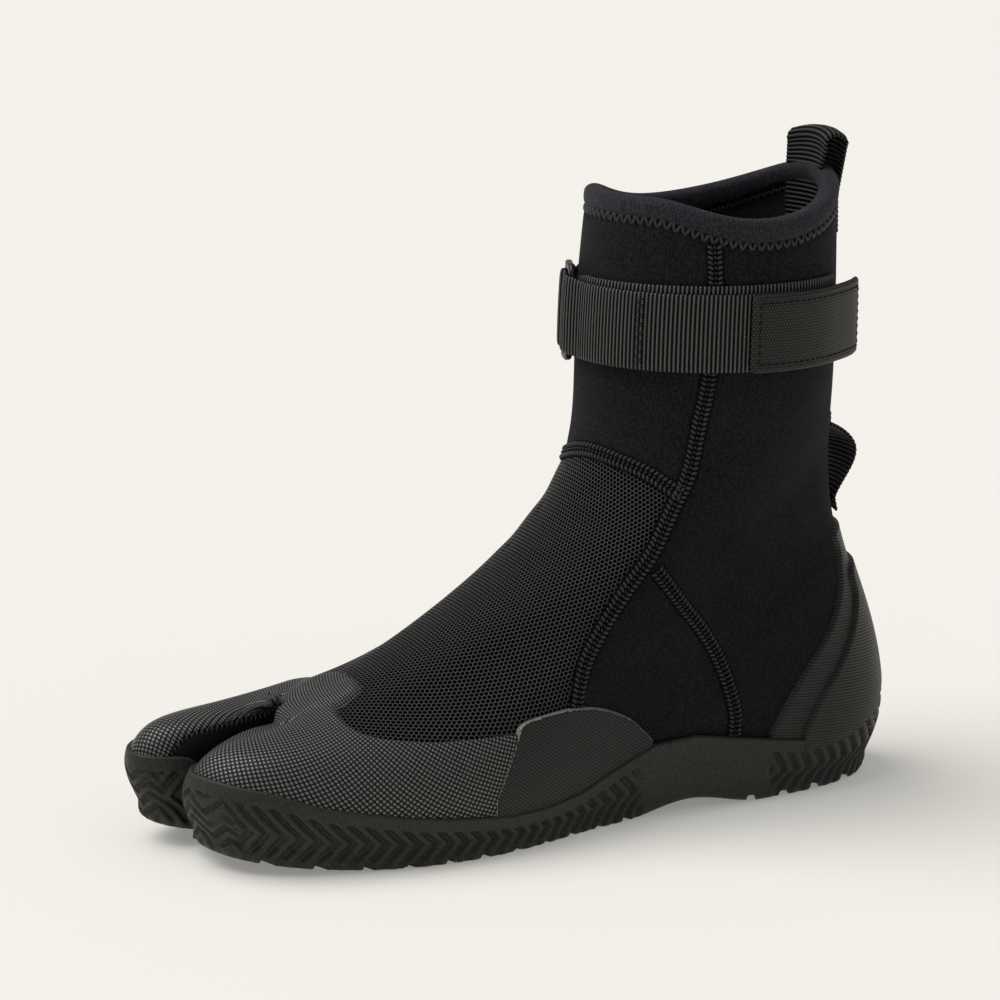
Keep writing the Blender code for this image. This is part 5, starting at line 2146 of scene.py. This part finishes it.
    def lay(self, places: Array, depth: float, point: Callable) -> list[Patch]:
        """Stitches from place to place with a small gap between them.

        Args:
            places: Rows of length and height.
            depth: Distance of the stitches from the shaft.
            point: Gives the points at a length, height and depth.

        Returns:
            The threads.
        """
        gap = self.stitch_gap * np.diff(places, axis=0)
        first, last = (places[:-1] + gap).T, (places[1:] - gap).T
        start, end = point(*first, depth), point(*last, depth)
        normal = unit(point(*first, depth + 1.0) - start)
        return add_stitches(start, end, normal, self.thread, self.stitch_rise)

    def lay_on_strap(self, column: float, runs: list[Array]) -> list[Patch]:
        """Stitches on the strap's outer layer.

        Args:
            column: The column round which they lie.
            runs: Runs of length and height.

        Returns:
            The threads.
        """
        scale, middle = self.mm_per_column(column), (self.low + self.high) / 2
        depth = SEAT_GAP + self.ease + 2 * self.webbing + self.layer_gap

        def point(run: Array, rise: Array, out: float) -> Array:
            """A place on the strap's face."""
            return self.form.beside(column + run / scale, middle + rise, np.full(len(run), out))

        return [patch for places in runs for patch in self.lay(places, depth, point)]


@dataclass
class PullLoops:
    """The grosgrain loop at the collar's back and the webbing loop on the heel."""

    form: LastForm
    thick: float = 1.5
    half_u: float = 1.12
    sewn_z: float = 207.0
    top_rise: float = 11.0
    set_back: float = 1.5
    spread: float = 1.9
    below_rim: float = 1.5
    free: float = 11.0
    heel_half_u: float = 2 / 3
    heel_low: float = 101.0
    heel_high: float = 139.0
    heel_bow: float = 11.0
    heel_sewn: float = 5.0
    heel_skew: float = 1.5
    bow_from: int = -20
    bow_to: int = 200
    bow_step: int = 5
    rib_pitch: float = GROSGRAIN.pitch
    rib_depth: float = 0.32

    def tape(self, path: Array) -> list[Patch]:
        """Ribbed tape along a grid of places, one row per step along it.

        Args:
            path: Grid of steps along the tape, places across it and x, y, z.

        Returns:
            The tape as a closed sheet.
        """
        middle = path[:, path.shape[1] // 2]
        length = length_along(middle)
        even = np.arange(0, length[-1], self.rib_pitch / RIB_STEPS)
        flat = path.reshape(len(path), -1)
        line = np.stack([np.interp(even, length, column) for column in flat.T], axis=1)
        centre = line.reshape(len(even), path.shape[1], 3)
        run = np.gradient(centre, axis=0)
        across = unit(np.stack([np.zeros(run.shape[:2]), run[..., 2], -run[..., 1]], axis=-1))
        share = np.linspace(-1, 1, path.shape[1])
        edge = (1 - np.abs(share) ** 16) ** 0.5
        rib = self.rib_depth * ridges(even, self.rib_pitch)
        depth = np.maximum((self.thick / 2 - rib[:, None]) * edge[None], THIN_EDGE)[..., None]
        wide = np.linalg.norm(np.diff(centre[0], axis=0), axis=1).sum()
        cloth = np.stack(np.broadcast_arrays(even[:, None], share[None] * wide / 2), -1)
        return sheet_patches(centre - across * depth, centre + across * depth, cloth)

    def across_columns(self, half: float) -> Array:
        """Columns across a tape, closer together at its edges."""
        return half * np.sin(np.radians(np.linspace(-90, 90, 25)))

    def build(self) -> None:
        """Make both loops."""
        form = self.form
        cloth = GROSGRAIN.material()
        u = self.across_columns(self.half_u)
        rim = form.rim(u)
        clear = SEAT_GAP + self.thick / 2
        legs = []
        for below, out in ((self.free, clear), (self.below_rim, -(WALL + clear))):
            heights = np.linspace(self.sewn_z, rim[:, 2].min() - below, 14)
            legs.append([form.offset(u, form.ring_at_height(u, z), out) for z in heights])
        outer_leg, inner_leg = legs
        half = (WALL + 2 * clear) / 2
        centre = rim + (0, self.set_back - WALL / 2, self.top_rise - half)
        bow = [
            centre + half * np.array((0, (self.spread if a < np.pi / 2 else 1.0) * np.cos(a), np.sin(a)))
            for a in np.radians(np.arange(self.bow_from, self.bow_to + 1, self.bow_step))
        ]
        collar = self.tape(np.array(outer_leg + bow + inner_leg[::-1]))
        add_piece("collar_pull_tape", collar, [cloth], ("collar_pull_loop",), join=JOIN)
        u = self.across_columns(self.heel_half_u)
        clear = 3 * SEAT_GAP + self.thick / 2
        rows = []
        foot, top = self.heel_low + self.heel_sewn, self.heel_high - self.heel_sewn
        for z in np.linspace(self.heel_low, self.heel_high, 61):
            share = (z - foot) / (top - foot)
            lift = self.heel_bow * np.sin(np.pi * np.clip(share, 0, 1) ** self.heel_skew) ** 0.8
            rows.append(form.beside(u, z, np.full(len(u), clear)) + (0, lift, 0))
        heel = self.tape(np.array(rows))
        add_piece("heel_pull_tape", heel, [cloth], ("heel_pull_loop",), join=JOIN)


class Softbox(NamedTuple):
    """A large soft light: the way to it, the angle that it fills in degrees, and its strength."""

    name: str
    place: tuple[float, float, float]
    spread: float
    power: float


SOFTBOXES = (
    Softbox("overhead_softbox", (-0.3, -0.5, 1.0), 52, 2.3),
    Softbox("side_softbox", (0.8, 0.7, 0.7), 50, 0.1),
)


@dataclass
class Studio:
    """The pale floor, soft lights and camera."""

    camera_place: tuple[float, float, float] = (1.05003, -0.53833, 0.37689)
    yaw: float = 2.6773
    pitch: float = -0.2181
    lens: float = 120.4
    floor_half: float = 30.0
    floor_colour: str = "#D8D6D0"
    floor_glow: tuple[str, float] = ("#F3F1EB", 0.25)
    floor_roughness: float = 0.95
    grain_scale: float = 300.0
    grain_depth: float = 0.00002
    sky_colour: str = "#FBF9F5"
    sky_strength: float = 0.36

    def build(self) -> None:
        """Set the camera first, then the floor, the world and the lights."""
        lens = bpy.data.cameras.new("camera")
        lens.lens = self.lens
        camera = add_object("camera", lens)
        camera.location = self.camera_place
        level = np.cos(self.pitch)
        self.aim(camera, (level * np.cos(self.yaw), level * np.sin(self.yaw), np.sin(self.pitch)))
        bpy.context.scene.camera = camera
        bpy.context.scene.view_settings.view_transform = "Standard"
        self.build_floor()
        self.build_lights()

    def aim(self, item: bpy.types.Object, way: Vector | tuple[float, float, float]) -> None:
        """Turn a camera or light to look this way."""
        item.rotation_mode = "QUATERNION"
        item.rotation_quaternion = Vector(way).to_track_quat("-Z", "Y")

    def build_floor(self) -> None:
        """Lay a table of pale acrylic, lit a little from below, which keeps the shadow on it light."""
        mesh = bpy.data.meshes.new("floor")
        corners = [(x * self.floor_half, y * self.floor_half, 0) for x, y in BOX_CORNERS[:-1]]
        mesh.from_pydata(corners, [], [(0, 1, 2, 3)])
        acrylic = bpy.data.materials.new("backlit_acrylic")
        tree = empty_tree(acrylic)
        place = add_node(tree, "ShaderNodeTexCoord").outputs["Object"]
        grain = add_node(tree, "ShaderNodeTexNoise", {"Vector": place, "Scale": self.grain_scale}).outputs[0]
        bump = add_node(tree, "ShaderNodeBump", {"Height": grain, "Distance": self.grain_depth})
        shader = add_node(
            tree, "ShaderNodeBsdfPrincipled",
            {
                "Base Color": linear(self.floor_colour), "Roughness": self.floor_roughness,
                "Normal": bump.outputs[0],
                "Emission Color": linear(self.floor_glow[0]), "Emission Strength": self.floor_glow[1],
            },
        )
        add_node(tree, "ShaderNodeOutputMaterial", {"Surface": shader.outputs[0]})
        mesh.materials.append(acrylic)
        floor = add_object("floor", mesh)

    def build_lights(self) -> None:
        """Set a white surround and the soft lights."""
        world = bpy.data.worlds.new("studio")
        tree = empty_tree(world)
        glow = {"Color": linear(self.sky_colour), "Strength": self.sky_strength}
        sky = add_node(tree, "ShaderNodeBackground", glow)
        add_node(tree, "ShaderNodeOutputWorld", {"Surface": sky.outputs[0]})
        bpy.context.scene.world = world
        for name, place, spread, power in SOFTBOXES:
            light = bpy.data.lights.new(name, "SUN")
            light.angle = np.radians(spread)
            light.energy = power
            self.aim(add_object(name, light), -Vector(place))


def main() -> None:
    """Build the studio and every piece of the boot."""
    logging.basicConfig(level=logging.INFO, format="%(message)s")
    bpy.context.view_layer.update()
    Studio().build()
    form = LastForm()
    Outsole(form).build()
    Upper(form).build()
    Insole(form).build()
    overlays = [
        Overlay(form, "toe_cap_rubber", TOE_CAP_EDGE, (4.2, 19.8), 6.6, CAP_RUBBER, "toe_cap",
                columns=560, rows=130, slotted=True),
        Overlay(form, "side_guard_outer", SIDE_GUARD_EDGE, (3.3, 5.4), 5.0, LINE_RUBBER,
                "side_guard_lateral", lift=GUARD_LIFT, cut=PAINTED_HIGHLIGHT_EDGE_RUBBER),
        Overlay(form, "side_guard_inner", SIDE_GUARD_EDGE, (18.8, 20.9), 5.0, LINE_RUBBER,
                "side_guard_medial", lift=GUARD_LIFT, cut=PAINTED_HIGHLIGHT_EDGE_RUBBER),
        Overlay(form, "heel_counter_rubber", HEEL_COUNTER_EDGE, (-3.2, 3.2), 7.4, LINE_RUBBER, "heel_counter",
                columns=380, rows=150),
        Overlay(form, "heel_counter_raised", HEEL_RIDGE_EDGE, (-2.8, 2.8), 6.4, LINE_RUBBER,
                "heel_counter_ridge", lift=2 * (SEAT_GAP + OVERLAY), columns=320, rows=130),
    ]
    for overlay in overlays:
        overlay.build()
    AnkleStrap(form).build()
    PullLoops(form).build()


if __name__ == "__main__":
    main()
